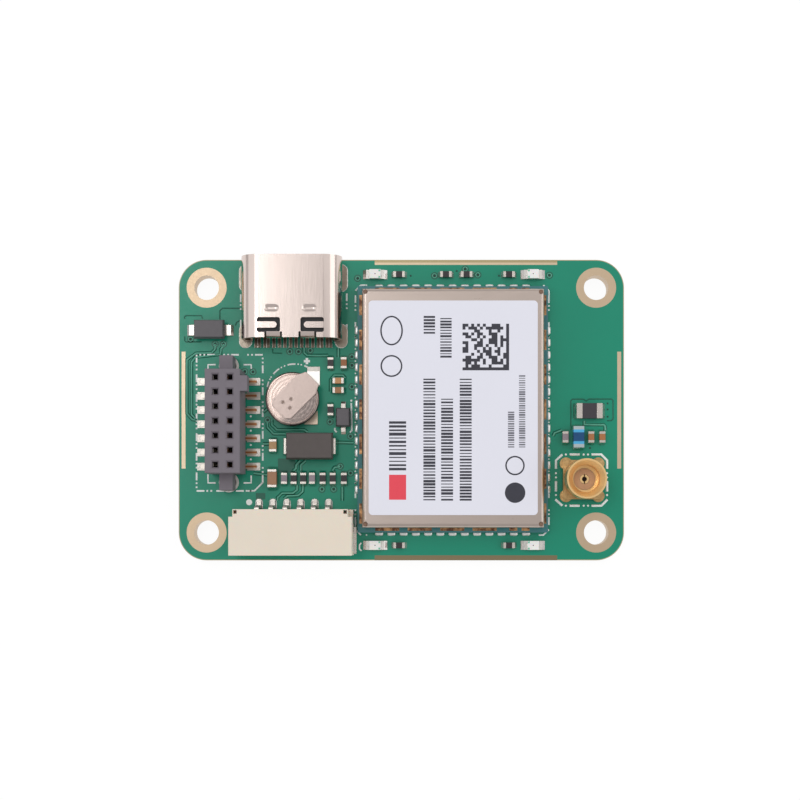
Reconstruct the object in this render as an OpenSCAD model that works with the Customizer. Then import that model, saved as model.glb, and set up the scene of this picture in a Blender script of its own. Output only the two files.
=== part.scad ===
// Satellite positioning board: a shielded receiver module, a USB connector,
// a wire connector, a pin socket, an antenna jack and a backup cell on one
// small circuit board. Millimetres, component side up. The origin is the
// centre of the four mounting holes, on the board's underside.

/* [Board] */
// Length of the board along X
board_w = 40; // [39:0.5:50]
// Depth of the board along Y
board_d = 27; // [26.5:0.5:34]
// Thickness of the board
board_t = 1.6; // [1:0.1:2.4]
// Corner radius of the board
corner_r = 2.5; // [0.5:0.1:2.5]
// Distance from the board's edges to the mounting hole centres
hole_inset = 2.5; // [2.2:0.1:2.8]
// Clear diameter of the mounting holes
hole_d = 2.2; // [1.6:0.1:2.8]
// Diameter of the bare ring around each mounting hole
ring_d = 3.6; // [3.2:0.1:4.2]
// Thickness of copper and plating
copper_t = 0.05; // [0.03:0.01:0.1]
// Thickness of the solder under each terminal
solder_t = 0.08; // [0.04:0.01:0.15]
// Length of the bare strips along the long edges
long_strip_l = 16.4; // [10:0.2:18]
// Width of the bare strips along the long edges
long_strip_w = 0.45; // [0.2:0.05:0.6]
// Length of the bare strips along the short edges
short_strip_l = 10.5; // [6:0.5:14]
// Width of the bare strips along the short edges
short_strip_w = 0.35; // [0.2:0.05:0.6]
// Gap between a short strip and the board's edge
short_strip_inset = 0.25; // [0.1:0.05:0.5]

/* [Receiver module] */
// Position of the module's centre along X
module_x = 4.6; // [4.4:0.1:5]
// Width of the module along X
module_w = 17; // [16.4:0.1:17.4]
// Depth of the module along Y
module_d = 22; // [21.4:0.1:22.4]
// Thickness of the module's own board
module_board_t = 0.8; // [0.5:0.1:1.2]
// Distance between neighbouring module pads
module_pitch = 1.1; // [1:0.05:1.2]
// Number of pads on each short side
short_pads = 13; // [9:1:13]
// Number of pads on each long side
long_pads = 14; // [8:1:14]
// Width of a module pad
module_pad_w = 0.7; // [0.5:0.05:0.8]
// Length of a module pad past the module's edge
module_pad_out = 0.28; // [0.1:0.02:0.4]
// Length of a module pad under the module
module_pad_in = 0.8; // [0.4:0.1:1.2]
// Distance from the module's edge to the shield's wall
shield_inset = 0.45; // [0.4:0.05:0.9]
// Height of the shield
shield_h = 1.6; // [1.3:0.1:2.4]
// Thickness of the shield's sheet
shield_sheet = 0.2; // [0.1:0.05:0.25]
// Outer bend radius of the shield's top edges
shield_bend = 0.35; // [0.3:0.05:0.6]
// Diameter of the relief hole at each corner of the shield
shield_relief_d = 0.4; // [0.2:0.05:0.6]
// Height of the gaps along the foot of the shield
shield_gap_h = 0.3; // [0.1:0.05:0.5]
// Distance from the shield's left and right edges to the label
label_margin_x = 0.6; // [0.4:0.1:2]
// Distance from the shield's front and back edges to the label
label_margin_y = 1.1; // [0.4:0.1:3]
// Thickness of the label
label_t = 0.1; // [0.05:0.01:0.2]

/* [USB connector] */
// Position of the connector's middle along X, from the receiver's left edge
usb_x = -5.8; // [-6.1:0.1:-5.5]
// Outer width of the shell
usb_w = 8.94; // [8.9:0.01:9.2]
// Outer height of the shell
usb_h = 3.2; // [3.1:0.05:3.4]
// Length of the shell
usb_l = 7.3; // [7:0.1:8]
// Thickness of the shell's sheet
usb_sheet = 0.3; // [0.2:0.02:0.34]
// Distance from the board's edge back to the shell's mouth
usb_setback = 0.05; // [0:0.05:0.4]
// Length of the front stakes
front_stake_l = 1.2; // [0.8:0.1:1.6]
// Length of the rear stakes
rear_stake_l = 0.9; // [0.6:0.1:1.2]
// Distance from the mouth to the middle of the front stakes
front_stake_y = 1.6; // [1.2:0.1:2.4]
// Distance from the rear edge to the middle of the rear stakes
rear_stake_y = 0.5; // [0.45:0.05:1.2]
// Width of each spring window
window_w = 2.05; // [1.6:0.05:2.4]
// Length of each spring window
window_l = 1.3; // [1:0.05:1.6]
// Distance from the middle to each window's centre
window_x = 1.92; // [1.6:0.02:2.2]
// Distance from the rear edge to the windows' centre
window_y = 1.1; // [1:0.05:2]
// Width of each spring finger
finger_w = 0.55; // [0.3:0.05:0.8]
// Width of the two tabs bent down at the rear
rear_tab_w = 1.2; // [0.8:0.05:1.4]
// Distance from the middle to each rear tab
rear_tab_x = 1.5; // [1.2:0.05:2]
// Width of the tongue
tongue_w = 6.69; // [6.5:0.01:6.9]
// Thickness of the tongue
tongue_t = 0.7; // [0.6:0.02:0.8]
// Distance from the mouth back to the tongue's tip
tongue_recess = 1.2; // [0.6:0.1:2]
// Width of a contact on the tongue
usb_contact_w = 0.25; // [0.2:0.01:0.3]
// Width of a contact's tail
usb_tail_w = 0.2; // [0.16:0.01:0.24]
// Thickness of a contact
usb_contact_t = 0.12; // [0.08:0.01:0.16]

/* [Pin socket] */
// Position of the socket's centre along X, from the receiver's left edge
socket_x = -11.6; // [-11.8:0.1:-11.3]
// Position of the socket's centre along Y
socket_y = -1.27; // [-1.6:0.01:-1]
// Number of rows
socket_rows = 7; // [3:1:7]
// Distance between contacts
socket_pitch = 1.27; // [1.2:0.01:1.3]
// Width of the housing
socket_w = 3.05; // [2.9:0.05:3.3]
// Height of the housing above the board
socket_h = 4.4; // [3.6:0.1:5.2]
// Width of the end lugs
lug_w = 1.2; // [1.1:0.1:1.8]
// Length of the end lugs
lug_l = 1.45; // [1.3:0.05:1.8]
// Height of the end lugs
lug_h = 2; // [1:0.1:3]
// Diameter of the locating pegs
peg_d = 0.8; // [0.6:0.05:1]
// Side of the square contact openings
socket_hole = 0.48; // [0.44:0.02:0.54]
// Length of a contact's foot past the housing
socket_foot_out = 1; // [0.9:0.05:1.3]

/* [Wire connector] */
// Position of the connector's middle along X, from the receiver's left edge
wire_x = -5.75; // [-5.9:0.05:-5.6]
// Number of contacts
wire_contacts_n = 6; // [2:1:6]
// Distance between contacts
wire_pitch = 1.25; // [1.2:0.01:1.27]
// Outer height of the housing
wire_h = 4.05; // [3.8:0.05:4.6]
// Depth of the housing along Y
wire_d = 4.05; // [3.8:0.05:4.3]
// Distance from the board's edge to the housing's mouth
wire_setback = 0.5; // [0.4:0.1:0.7]
// Distance from the outer contacts to the ends of the housing
wire_end = 2.25; // [2.1:0.05:2.3]
// Thickness of the end walls
wire_end_wall = 1; // [0.9:0.05:1.2]
// Thickness of the floor
wire_floor = 0.6; // [0.4:0.05:0.8]
// Thickness of the roof
wire_roof = 0.65; // [0.4:0.05:0.9]
// Thickness of the back wall
wire_back = 0.85; // [0.6:0.05:1.2]
// Side of a contact pin
wire_pin = 0.4; // [0.3:0.05:0.5]

/* [Antenna jack] */
// Distance from the receiver's right edge to the jack's axis
jack_edge = 3.1; // [2.7:0.1:3.3]
// Position of the jack along Y
jack_y = -6.27; // [-6.6:0.01:-6]
// Outer diameter of the barrel
jack_d = 3.5; // [3.3:0.05:3.6]
// Diameter of the bore
jack_bore_d = 2.4; // [2.2:0.05:2.6]
// Height of the jack above the board
jack_h = 4.2; // [3.8:0.1:5]
// Side of the square base
jack_base_w = 3.5; // [3.2:0.1:3.6]
// Height of the base
jack_base_h = 1; // [0.8:0.1:1.4]
// Distance from the jack's axis to each foot's axis
jack_foot_x = 1.45; // [1.3:0.05:1.5]
// Diameter of the corner feet
jack_foot_d = 1.1; // [0.8:0.05:1.2]
// Depth of the bore from the rim to the insulator
jack_depth = 2; // [1.6:0.1:2.6]
// Diameter of the insulator under the bore
jack_insulator_d = 1.9; // [1.8:0.05:2.2]

/* [Backup cell] */
// Position of the cell along X, from the receiver's left edge
cell_x = -5.8; // [-5.85:0.05:-5.6]
// Position of the cell along Y
cell_y = 0.9; // [0.8:0.1:1.1]
// Diameter of the cell
cell_d = 4.8; // [4.4:0.1:4.8]
// Height of the cell
cell_h = 1.2; // [0.8:0.1:2]
// Thickness of the welded tabs
cell_tab_t = 0.12; // [0.08:0.02:0.16]
// Width of the top tab
cell_tab_w = 2.36; // [1.8:0.02:2.4]

/* [Diodes] */
// Length of the large diode's body
large_diode_l = 4.2; // [3.8:0.1:4.3]
// Width of the large diode's body
large_diode_w = 2.4; // [2:0.1:2.6]
// Height of the large diode's body
large_diode_h = 2; // [1.6:0.1:2.4]
// Length of the medium diode's body
medium_diode_l = 2.75; // [2.5:0.05:2.8]
// Width of the medium diode's body
medium_diode_w = 1.7; // [1.4:0.1:1.8]
// Height of the medium diode's body
medium_diode_h = 1.1; // [0.9:0.1:1.3]
// Length of the small diode's body
small_diode_l = 1.7; // [1.5:0.05:1.8]
// Width of the small diode's body
small_diode_w = 1.3; // [1.1:0.05:1.35]
// Height of the small diode's body
small_diode_h = 0.9; // [0.7:0.1:1.1]

/* [Chips and indicators] */
// Length of a small chip part
chip_l = 1; // [0.9:0.05:1.05]
// Width of a small chip part
chip_w = 0.52; // [0.4:0.02:0.54]
// Height of a chip resistor
resistor_h = 0.35; // [0.25:0.05:0.5]
// Height of a chip capacitor or bead
capacitor_h = 0.5; // [0.3:0.05:0.6]
// Length of a chip's metal end cap
chip_cap_l = 0.22; // [0.15:0.01:0.3]
// Length of the largest capacitor
large_capacitor_l = 1.6; // [1.4:0.1:1.8]
// Width of the largest capacitor
large_capacitor_w = 0.8; // [0.6:0.05:0.9]
// Height of the largest capacitor
large_capacitor_h = 0.8; // [0.5:0.05:1]
// Length of the solder past a small chip's end
chip_solder_l = 0.2; // [0.1:0.02:0.26]
// Length of the solder past the end of an indicator, the fuse or the largest capacitor
long_solder_l = 0.28; // [0.1:0.02:0.34]
// Length of an indicator
led_l = 1.6; // [1.5:0.05:1.8]
// Width of an indicator
led_w = 0.8; // [0.6:0.05:0.9]
// Thickness of an indicator's base
led_base_h = 0.25; // [0.2:0.05:0.4]
// Height of an indicator's lens above its base
led_lens_h = 0.35; // [0.2:0.05:0.6]
// Distance from the module's edge to the rows of indicators
led_gap = 1.15; // [1.05:0.05:1.3]
// Length of the inductor
inductor_l = 1.9; // [1.6:0.1:2]
// Width of the inductor
inductor_w = 0.95; // [0.7:0.05:1]
// Height of the inductor
inductor_h = 0.9; // [0.5:0.1:1.2]
// Length of the fuse
fuse_l = 2.3; // [2:0.1:2.5]
// Width of the fuse
fuse_w = 1.35; // [1:0.05:1.5]
// Height of the fuse
fuse_h = 0.55; // [0.3:0.05:0.8]

/* [Hidden] */
$fn = 48;
// Slack between curved faces that fit in one another
fit = 0.02;
// How far a cut runs past the face that it opens
over = 0.1;

// Levels: the board's face, and the solder that terminals stand on
top = board_t;
seat = top + solder_t;

hole_x = board_w / 2 - hole_inset;
hole_y = board_d / 2 - hole_inset;
strip_y = board_d / 2 - long_strip_w / 2;
strip_x = board_w / 2 - short_strip_inset - short_strip_w / 2;
strip_shift = 1.2;
strip_middle_x = module_x + strip_shift;

module_top = seat + module_board_t;
module_left = module_x - module_w / 2;
module_right = module_x + module_w / 2;
shield_w = module_w - 2 * shield_inset;
shield_d = module_d - 2 * shield_inset;
shield_top = module_top + shield_h;
label_w = shield_w - 2 * label_margin_x;
label_d = shield_d - 2 * label_margin_y;
label_r = 0.35;
// Feet and pads along the shield's sides, and along its front and back
side_feet = 7;
side_foot_l = 1.8;
side_foot_pitch = 3.1;
end_feet = 4;
end_foot_l = 2.15;
end_foot_pitch = 2.9;
end_foot_first = -5.85;
end_small_feet = [5.4, 6.5];
end_small_l = 0.7;
shield_pad_w = 0.75;
shield_pad_out = 0.3;
shield_thin = 0.05;

// Chips under the shield, as width, depth and height
receiver_size = [7, 7, 0.85];
memory_size = [3, 2, 0.6];
oscillator_size = [2.5, 2, 0.8];
filter_size = [1.4, 1.1, 0.5];
// Their places, from the module's centre
receiver_at = [1.5, -3];
memory_at = [-4.5, -5];
oscillator_at = [4.5, 4.5];
filters_at = [[-4.5, 4], [-4.5, 6.5]];

usb_mid = module_left + usb_x;
usb_front = board_d / 2 - usb_setback;
usb_rear = usb_front - usb_l;
usb_middle = top + usb_h / 2;
stake_t = usb_sheet;
stake_x = usb_w / 2 - stake_t / 2 - fit;
stake_bottom = 0.3;
stake_slack = 0.2;
stake_pad_rim = 0.2;
// Stakes as distance from the rear edge along Y, and length
stakes = [[usb_l - front_stake_y, front_stake_l], [rear_stake_y, rear_stake_l]];
// Cut in the shell's floor for the tails, and the insulator's block
tail_cut_w = 7.2;
tail_cut_l = 2;
tail_cut_h = 0.55;
block_rear = 0.42;
block_front = 2.2;
rear_tab_bend = 0.5;
rear_tab_drop = 1.05;
rear_notch = 0.18;
dimple_x = 1.66;
dimple_y = 2.57;
dimple_r = 0.52;
dimple_half = 0.32;
dimple_depth = 0.12;
window_r = 0.2;
finger_gap = 0.3;
latch_t = 0.15;
latch_l = 3.6;
latch_recess = 0.5;
// Contacts across the tongue, and where their tails leave at the rear
strip_places = [-2.75, -1.25, -0.75, -0.25, 0.25, 0.75, 1.25, 2.75];
upper_tails = [-3.05, -2.25, -1.25, -0.25, 0.25, 1.25, 2.25, 3.05];
lower_tails = [-3.35, -2.55, -1.75, -0.75, 0.75, 1.75, 2.55, 3.35];
contact_recess = 0.4;
usb_tip = usb_l - tongue_recess - contact_recess;
lower_turn = 1.4;
tail_out = 0.55;
tail_straight = 0.5;
// Tail pads as place and width
tail_pads = concat(
    [for (s = [-1, 1]) [s * 3.2, 0.58]],
    [for (s = [-1, 1]) [s * 2.4, 0.58]],
    [for (x = [-1.75 : 0.5 : 1.75]) [x, 0.3]]);

socket_mid = module_left + socket_x;
socket_ends = 0.15;
socket_l = socket_rows * socket_pitch + socket_ends;
socket_lift = 0.25;
socket_floor = top + socket_lift;
socket_row_x = socket_pitch / 2;
lug_reach = 0.7;
lug_y = socket_l / 2 + lug_reach;
peg_slack = 0.2;
peg_hole_d = peg_d + peg_slack;
peg_rim = 0.8;
peg_ring_d = peg_hole_d + peg_rim;
peg_l = 1.2;
beam_t = 0.1;
cavity_x = 0.64;
cavity_y = 0.44;
socket_entry = 0.5;
socket_chamfer = 0.12;
key_w = 0.64;
key_l = 1.35;
key_h = 1.4;
key_from_end = 1.25;
socket_contact_w = 0.4;
socket_contact_t = 0.13;
socket_base_lift = 0.05;
beam_gap = 0.1;
foot_end = socket_w / 2 + socket_foot_out - socket_row_x;
socket_pad_w = 0.68;
socket_pad_l = 1.2;
socket_pad_out = 0.3;

wire_mid = module_left + wire_x;
wire_w = (wire_contacts_n - 1) * wire_pitch + 2 * wire_end;
wire_front = -board_d / 2 + wire_setback;
wire_rear = wire_front + wire_d;
wire_axis = top + wire_floor + (wire_h - wire_floor - wire_roof) / 2;
wire_cavity_w = wire_w - 2 * wire_end_wall;
wire_pin_recess = 1;
wire_lead_t = 0.2;
wire_lead_out = 0.35;
wire_bend = 0.3;
wire_foot_end = 0.95;
wire_pad_gap = 0.1;
wire_pad_l = 0.9;
wire_pad_w = 0.65;
// Notch, as width, length and depth, and pocket at both rear corners of the housing
wire_notch = [0.35, 0.65, 2.7];
wire_pocket = 0.3;
wire_pocket_x = 0.575;
wire_pocket_y = 0.24;
wire_pocket_depth = 1.2;
anchor_t = 0.2;
anchor_l = 2.4;
anchor_h = 1.4;
anchor_web = 0.1;
anchor_y = anchor_web + anchor_l / 2;
anchor_foot = 0.25;

jack_x = module_right + jack_edge;
jack_top = top + jack_h;
jack_insulator_top = jack_top - jack_depth;
jack_lift = 0.15;
jack_foot_h = 0.35;
// Wide upper part of the barrel, and its step down to the waist
jack_collar_h = 2.2;
jack_collar_floor = jack_top - jack_collar_h;
jack_step = 0.2;
jack_groove = 0.12;
jack_groove_h = 0.35;
jack_groove_drop = 0.4;
jack_lip = 0.4;
jack_rim = 0.15;
jack_pin_d = 0.8;
jack_pin_hole_d = 0.44;
jack_pin_depth = 1.2;
jack_slit = 0.1;

cell_mid = module_left + cell_x;
cell_floor = seat + cell_tab_t;
cell_top = cell_floor + cell_h;
cell_edge_r = 0.2;
cell_groove_in = 0.32;
cell_groove_r = cell_d / 2 - cell_groove_in;
cell_groove_w = 0.1;
tab_gap = 0.05;
tab_leg = cell_d / 2 + tab_gap;
tab_reach = 0.7;
tab_corner = 0.38;
tab_tail = 1.7;
// How far the top tab's foot and its solder run on along Y
tab_foot_l = 0.2;
tab_pad_l = 0.6;

// Parts between the two connectors draw together or apart with the board's depth
usual_d = 27;
spread = pow(board_d / usual_d, 2);
large_diode_y = -3.3;
cell_mid_y = cell_y + 1 - spread;
large_diode_at = [module_left - 4.25, large_diode_y * spread];
medium_diode_at = [module_left - 13.25, 7.15];
small_diode_at = [module_left - 1.3, -0.7 * spread];
large_lead_w = 1.4;
large_lead_t = 0.2;
large_lead_foot = 1;
flat_lead_t = 0.15;
flat_lead_under = 0.5;
medium_lead_w = 0.95;
medium_lead_l = 0.5;
small_lead_w = 0.4;
small_lead_l = 0.42;
moulding_draft = 0.12;

// Small parts near the module's left edge share one column
near_x = module_left - 1.25;
next_x = near_x - 1.2;
row_y = -6.15 * spread;
upper_y = 4.2 * spread;
led_y = module_d / 2 + led_gap;
led_x = [module_x - 6.95, module_x + 7.2];
leds = [for (y = [led_y, -led_y], x = led_x) [x, y, x < module_x ? 0 : 180]];
led_mate = 2.15;
led_end_l = 0.3;
led_lens_l = 1;
solder_foot = 0.04;
solder_climb = 0.7;
// Chip sizes as length, width and height
small_size = [chip_l, chip_w, capacitor_h];
middle_size = [1.1, 0.65, 0.55];
large_size = [large_capacitor_l, large_capacitor_w, large_capacitor_h];
// Chip parts as X, Y and turn, and for capacitors the size
resistors = concat(
    [[next_x, upper_y, 90], [next_x, 0, 90]],
    [for (x = [0, -1, -1.9, -3.65, -4.5]) [near_x + x, row_y, 90]],
    [for (led = leds) [led[0] + (led[2] == 0 ? 1 : -1) * led_mate, led[1], 0]],
    [for (x = [-0.6, 1.25]) [module_x + x, led_y, 0]]);
matching_y = -2.45;
capacitors = [
    [near_x, upper_y, 90, small_size], [near_x - 0.5, 2.6 * spread, 0, small_size],
    [near_x - 0.5, 1.75 * spread, 0, small_size], [near_x - 6.35, -3.2 * spread, 90, middle_size],
    [near_x - 6.4, row_y, 90, large_size],
    [jack_x + 0.8, matching_y, 90, small_size], [jack_x + 1.8, matching_y, 90, small_size]];
beads = concat(
    [for (x = [-2.85, -5.35]) [near_x + x, row_y, 90]],
    [[jack_x - 1.5, matching_y, 90]]);
inductor_at = [jack_x - 0.35, matching_y, 90];
fuse_at = [jack_x + 0.65, -0.1, 0];
inductor_cap_l = 0.3;
fuse_cap_l = 0.5;

// Shared shapes

// A box centred on X and Y, standing on z
module block(w, d, h, z = 0) {
    translate([-w / 2, -d / 2, z]) cube([w, d, h]);
}

// Rounded rectangle
module rounded_rect(w, d, r) {
    square([w - 2 * r, d], center = true);
    square([w, d - 2 * r], center = true);
    for (x = [-1, 1], y = [-1, 1])
        translate([x * (w / 2 - r), y * (d / 2 - r)]) circle(r);
}

// Slot shape with full round ends, its length along X or along Y
module slot(w, d) {
    r = min(w, d) / 2;
    square(w > d ? [w - d, d] : [w, d - w], center = true);
    for (s = [-1, 1])
        translate(w > d ? [s * (w / 2 - r), 0] : [0, s * (d / 2 - r)]) circle(r);
}

// Runs a shape drawn in X and Z along Y, from y to y + l
module along_y(y, l) {
    translate([0, y + l, 0]) rotate([90, 0, 0]) linear_extrude(l) children();
}

// Runs a shape drawn in Y and Z along X, centred
module along_x(l) {
    rotate([90, 0, 90]) linear_extrude(l, center = true) children();
}

// Plated hole through the board, with a bare ring on both faces
module plated_hole(d, ring) {
    difference() {
        union() {
            cylinder(d = d + 2 * copper_t, h = board_t);
            for (z = [0, board_t - copper_t])
                translate([0, 0, z]) cylinder(d = ring, h = copper_t);
        }
        translate([0, 0, -over]) cylinder(d = d, h = board_t + 2 * over);
    }
}

// Room in the board for a plated hole
module plated_hole_cut(d, ring) {
    translate([0, 0, -over]) cylinder(d = d + 2 * copper_t, h = board_t + 2 * over);
    translate([0, 0, -over]) cylinder(d = ring, h = copper_t + over);
    translate([0, 0, board_t - copper_t]) cylinder(d = ring, h = copper_t + over);
}

// Folded can seen from the end: square foot, round top edges
module can_profile(w, h, r) {
    translate([-w / 2, 0]) square([w, h - r]);
    translate([r - w / 2, 0]) square([w - 2 * r, h]);
    for (s = [-1, 1])
        translate([s * (w / 2 - r), h - r]) circle(r);
}

// Box with all four top edges rounded
module can_solid(w, d, h, r) {
    intersection() {
        along_y(-d / 2, d) can_profile(w, h, r);
        along_x(w) can_profile(d, h, r);
    }
}

// Moulded body with draft above and below its parting line
module moulding(l, w, h, z) {
    translate([0, 0, z]) intersection() {
        along_y(-w / 2, w) moulding_profile(l, h);
        along_x(l) moulding_profile(w, h);
    }
}

module moulding_profile(w, h) {
    e = w / 2 - moulding_draft;
    polygon([[-e, 0], [e, 0], [w / 2, h / 2], [e, h], [-e, h], [-w / 2, h / 2]]);
}

// Places children at an X, Y and turn
module at(place) {
    translate([place[0], place[1], 0]) rotate([0, 0, len(place) > 2 ? place[2] : 0]) children();
}

// Body of a chip part between its end caps
module chip_body(l, w, h, cap_l) {
    block(l - 2 * cap_l, w, h, seat);
}

// The two metal end caps of a chip part
module chip_caps(l, w, h, cap_l) {
    for (s = [-1, 1])
        translate([s * (l - cap_l) / 2, 0, 0]) block(cap_l, w, h, seat);
}

// The two solder joints of a chip part, with fillets up its ends
module chip_joints(l, w, h, cap_l, out = chip_solder_l) {
    for (s = [0, 180])
        rotate([0, 0, s]) translate([l / 2, 0, top]) along_y(-w / 2, w)
            polygon([[-cap_l, 0], [out, 0], [out, solder_foot],
                [0, solder_t + h * solder_climb], [0, solder_t], [-cap_l, solder_t]]);
}

// Board

module board() {
    color("#1f7a4d") difference() {
        linear_extrude(board_t) rounded_rect(board_w, board_d, corner_r);
        for (x = [-hole_x, hole_x], y = [-hole_y, hole_y])
            translate([x, y, 0]) plated_hole_cut(hole_d, ring_d);
        for (s = [-1, 1])
            translate([socket_mid, socket_y + s * lug_y, 0]) plated_hole_cut(peg_hole_d, peg_ring_d);
        for (side = [-1, 1], stake = stakes)
            translate([usb_mid + side * stake_x, usb_rear + stake[0], -over])
                linear_extrude(board_t + 2 * over) stake_hole(stake[1]);
        translate([0, 0, top - copper_t]) edge_strip_shapes(copper_t + over, over);
    }
}

module mounting_hole_plating() {
    color("#d9d3c0") for (x = [-hole_x, hole_x], y = [-hole_y, hole_y])
        translate([x, y, 0]) plated_hole(hole_d, ring_d);
}

// Bare strips of height h, run out past the board's edge by out
module edge_strip_shapes(h, out) {
    for (s = [-1, 1]) {
        translate([strip_middle_x, s * (strip_y + out / 2), 0])
            block(long_strip_l, long_strip_w + out, h);
        translate([s * strip_x, 0, 0]) block(short_strip_w, short_strip_l, h);
    }
}

module edge_strips() {
    color("#c9b06a") translate([0, 0, top - copper_t]) edge_strip_shapes(copper_t, 0);
}

// Receiver module

module module_solder() {
    pad_l = module_pad_out + module_pad_in;
    edge = module_pad_out - pad_l / 2;
    color("#dcdce0") translate([module_x, 0, 0]) {
        for (s = [-1, 1], i = [0 : short_pads - 1])
            translate([(i - (short_pads - 1) / 2) * module_pitch, s * (module_d / 2 + edge), 0])
                block(module_pad_w, pad_l, solder_t, top);
        for (s = [-1, 1], i = [0 : long_pads - 1])
            translate([s * (module_w / 2 + edge), (i - (long_pads - 1) / 2) * module_pitch, 0])
                block(pad_l, module_pad_w, solder_t, top);
    }
}

module module_board() {
    color("#1f6f78") difference() {
        translate([module_x, 0, 0]) block(module_w, module_d, module_board_t, seat);
        shield_pad_shapes(copper_t + over);
    }
}

// Bare pads that the shield's feet stand on
module shield_pad_shapes(h) {
    pad_y = shield_d / 2 + shield_pad_out - shield_pad_w / 2;
    pad_x = shield_w / 2 + shield_pad_out - shield_pad_w / 2;
    translate([module_x, 0, module_top - copper_t]) for (s = [-1, 1]) {
        for (i = [0 : side_feet - 1])
            translate([s * pad_x, (i - (side_feet - 1) / 2) * side_foot_pitch, 0])
                block(shield_pad_w, side_foot_l, h);
        for (i = [0 : end_feet - 1])
            translate([end_foot_first + i * end_foot_pitch, s * pad_y, 0])
                block(end_foot_l, shield_pad_w, h);
        for (x = end_small_feet)
            translate([x, s * pad_y, 0]) block(end_small_l, shield_pad_w, h);
    }
}

module module_shield_pads() {
    color("#b5713c") shield_pad_shapes(copper_t);
}

module module_shield() {
    inner_bend = max(shield_bend - shield_sheet, shield_thin);
    relief = shield_bend - shield_thin;
    color("#b9bcc2") translate([module_x, 0, module_top]) difference() {
        can_solid(shield_w, shield_d, shield_h, shield_bend);
        translate([0, 0, -over]) can_solid(shield_w - 2 * shield_sheet, shield_d - 2 * shield_sheet,
            shield_h - shield_sheet + over, inner_bend);
        for (x = [-1, 1], y = [-1, 1])
            translate([x * (shield_w / 2 - relief), y * (shield_d / 2 - relief), -over])
                cylinder(d = shield_relief_d, h = shield_h + 2 * over);
        for (i = [0 : side_feet - 2])
            translate([0, (i - (side_feet - 2) / 2) * side_foot_pitch, 0])
                block(shield_w + over, side_foot_pitch - side_foot_l, shield_gap_h + over, -over);
        for (i = [0 : end_feet - 1])
            translate([end_foot_first + (i + 0.5) * end_foot_pitch, 0, 0])
                block(end_foot_pitch - end_foot_l, shield_d + over, shield_gap_h + over, -over);
    }
}

module module_label() {
    color("#e4e4ec") translate([module_x, 0, shield_top])
        linear_extrude(label_t) rounded_rect(label_w, label_d, label_r);
}

module module_chip(place, size) {
    translate([module_x + place[0], place[1], 0]) block(size[0], size[1], size[2], module_top);
}

module receiver_chip() {
    color("#26262a") module_chip(receiver_at, receiver_size);
}

module memory_chip() {
    color("#303034") module_chip(memory_at, memory_size);
}

module oscillator() {
    color("#c8b98a") module_chip(oscillator_at, oscillator_size);
}

module rf_filters() {
    color("#8f8f96") for (place = filters_at)
        module_chip(place, filter_size);
}

// USB connector

// Hole in the board for one stake, and the solder around it
module stake_hole(l) {
    slot(stake_t + 2 * stake_slack, l + 2 * stake_slack);
}

module stake_blades(slack = 0) {
    for (side = [-1, 1], stake = stakes)
        translate([side * stake_x, stake[0], 0])
            block(stake_t + slack, stake[1] + slack, usb_middle - stake_bottom, stake_bottom);
}

// The shell's coordinates: its middle on X, its rear edge at zero on Y
module at_usb() {
    translate([usb_mid, usb_rear, 0]) children();
}

// A window with a spring finger left standing, rooted on its outer side
module spring_window() {
    tip = window_w / 2 - finger_gap - finger_w / 2;
    linear_extrude(usb_h / 2) difference() {
        rounded_rect(window_w, window_l, window_r);
        translate([-window_w, -finger_w / 2]) square([window_w + tip, finger_w]);
        translate([tip, 0]) circle(finger_w / 2);
    }
}

// A long dimple pressed into the shell's roof
module dimple() {
    translate([0, 0, top + usb_h + dimple_r - dimple_depth]) {
        for (s = [-1, 1])
            translate([s * dimple_half, 0, 0]) sphere(dimple_r);
        rotate([0, 90, 0]) cylinder(r = dimple_r, h = 2 * dimple_half, center = true);
    }
}

// A tab bent down from the shell's roof at its rear edge
module rear_tab() {
    inner = rear_tab_bend - usb_sheet;
    along_x(rear_tab_w) {
        intersection() {
            translate([rear_tab_bend, usb_h - rear_tab_bend]) difference() {
                circle(rear_tab_bend);
                circle(inner);
            }
            translate([0, usb_h - rear_tab_bend]) square(rear_tab_bend);
        }
        translate([0, usb_h - rear_tab_drop]) square([usb_sheet, rear_tab_drop - rear_tab_bend]);
    }
}

module usb_shell() {
    tab_room = rear_tab_w + 2 * rear_notch;
    color("#c3c6cc") at_usb() {
        difference() {
            union() {
                translate([0, 0, usb_middle]) along_y(0, usb_l) slot(usb_w, usb_h);
                stake_blades();
            }
            translate([0, 0, usb_middle]) along_y(-over, usb_l + 2 * over)
                slot(usb_w - 2 * usb_sheet, usb_h - 2 * usb_sheet);
            translate([0, tail_cut_l / 2 - over, 0])
                block(tail_cut_w, tail_cut_l + 2 * over, tail_cut_h + over, top - over);
            for (side = [-1, 1]) {
                translate([side * window_x, window_y, usb_middle])
                    mirror([side > 0 ? 1 : 0, 0, 0]) spring_window();
                translate([side * rear_tab_x, 0, usb_middle])
                    block(tab_room, 2 * rear_tab_bend, usb_h);
                translate([side * dimple_x, dimple_y, 0]) dimple();
            }
        }
        for (side = [-1, 1])
            translate([side * rear_tab_x, 0, top]) rear_tab();
    }
}

// One contact along the tongue, drifting to its tail's place as it leaves
module contact_run(x, tail, from, turn, to) {
    w = usb_contact_w / 2;
    t = usb_tail_w / 2;
    linear_extrude(usb_contact_t)
        polygon([[x - w, from], [x + w, from], [x + w, turn], [tail + t, to], [tail - t, to], [x - w, turn]]);
}

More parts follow.
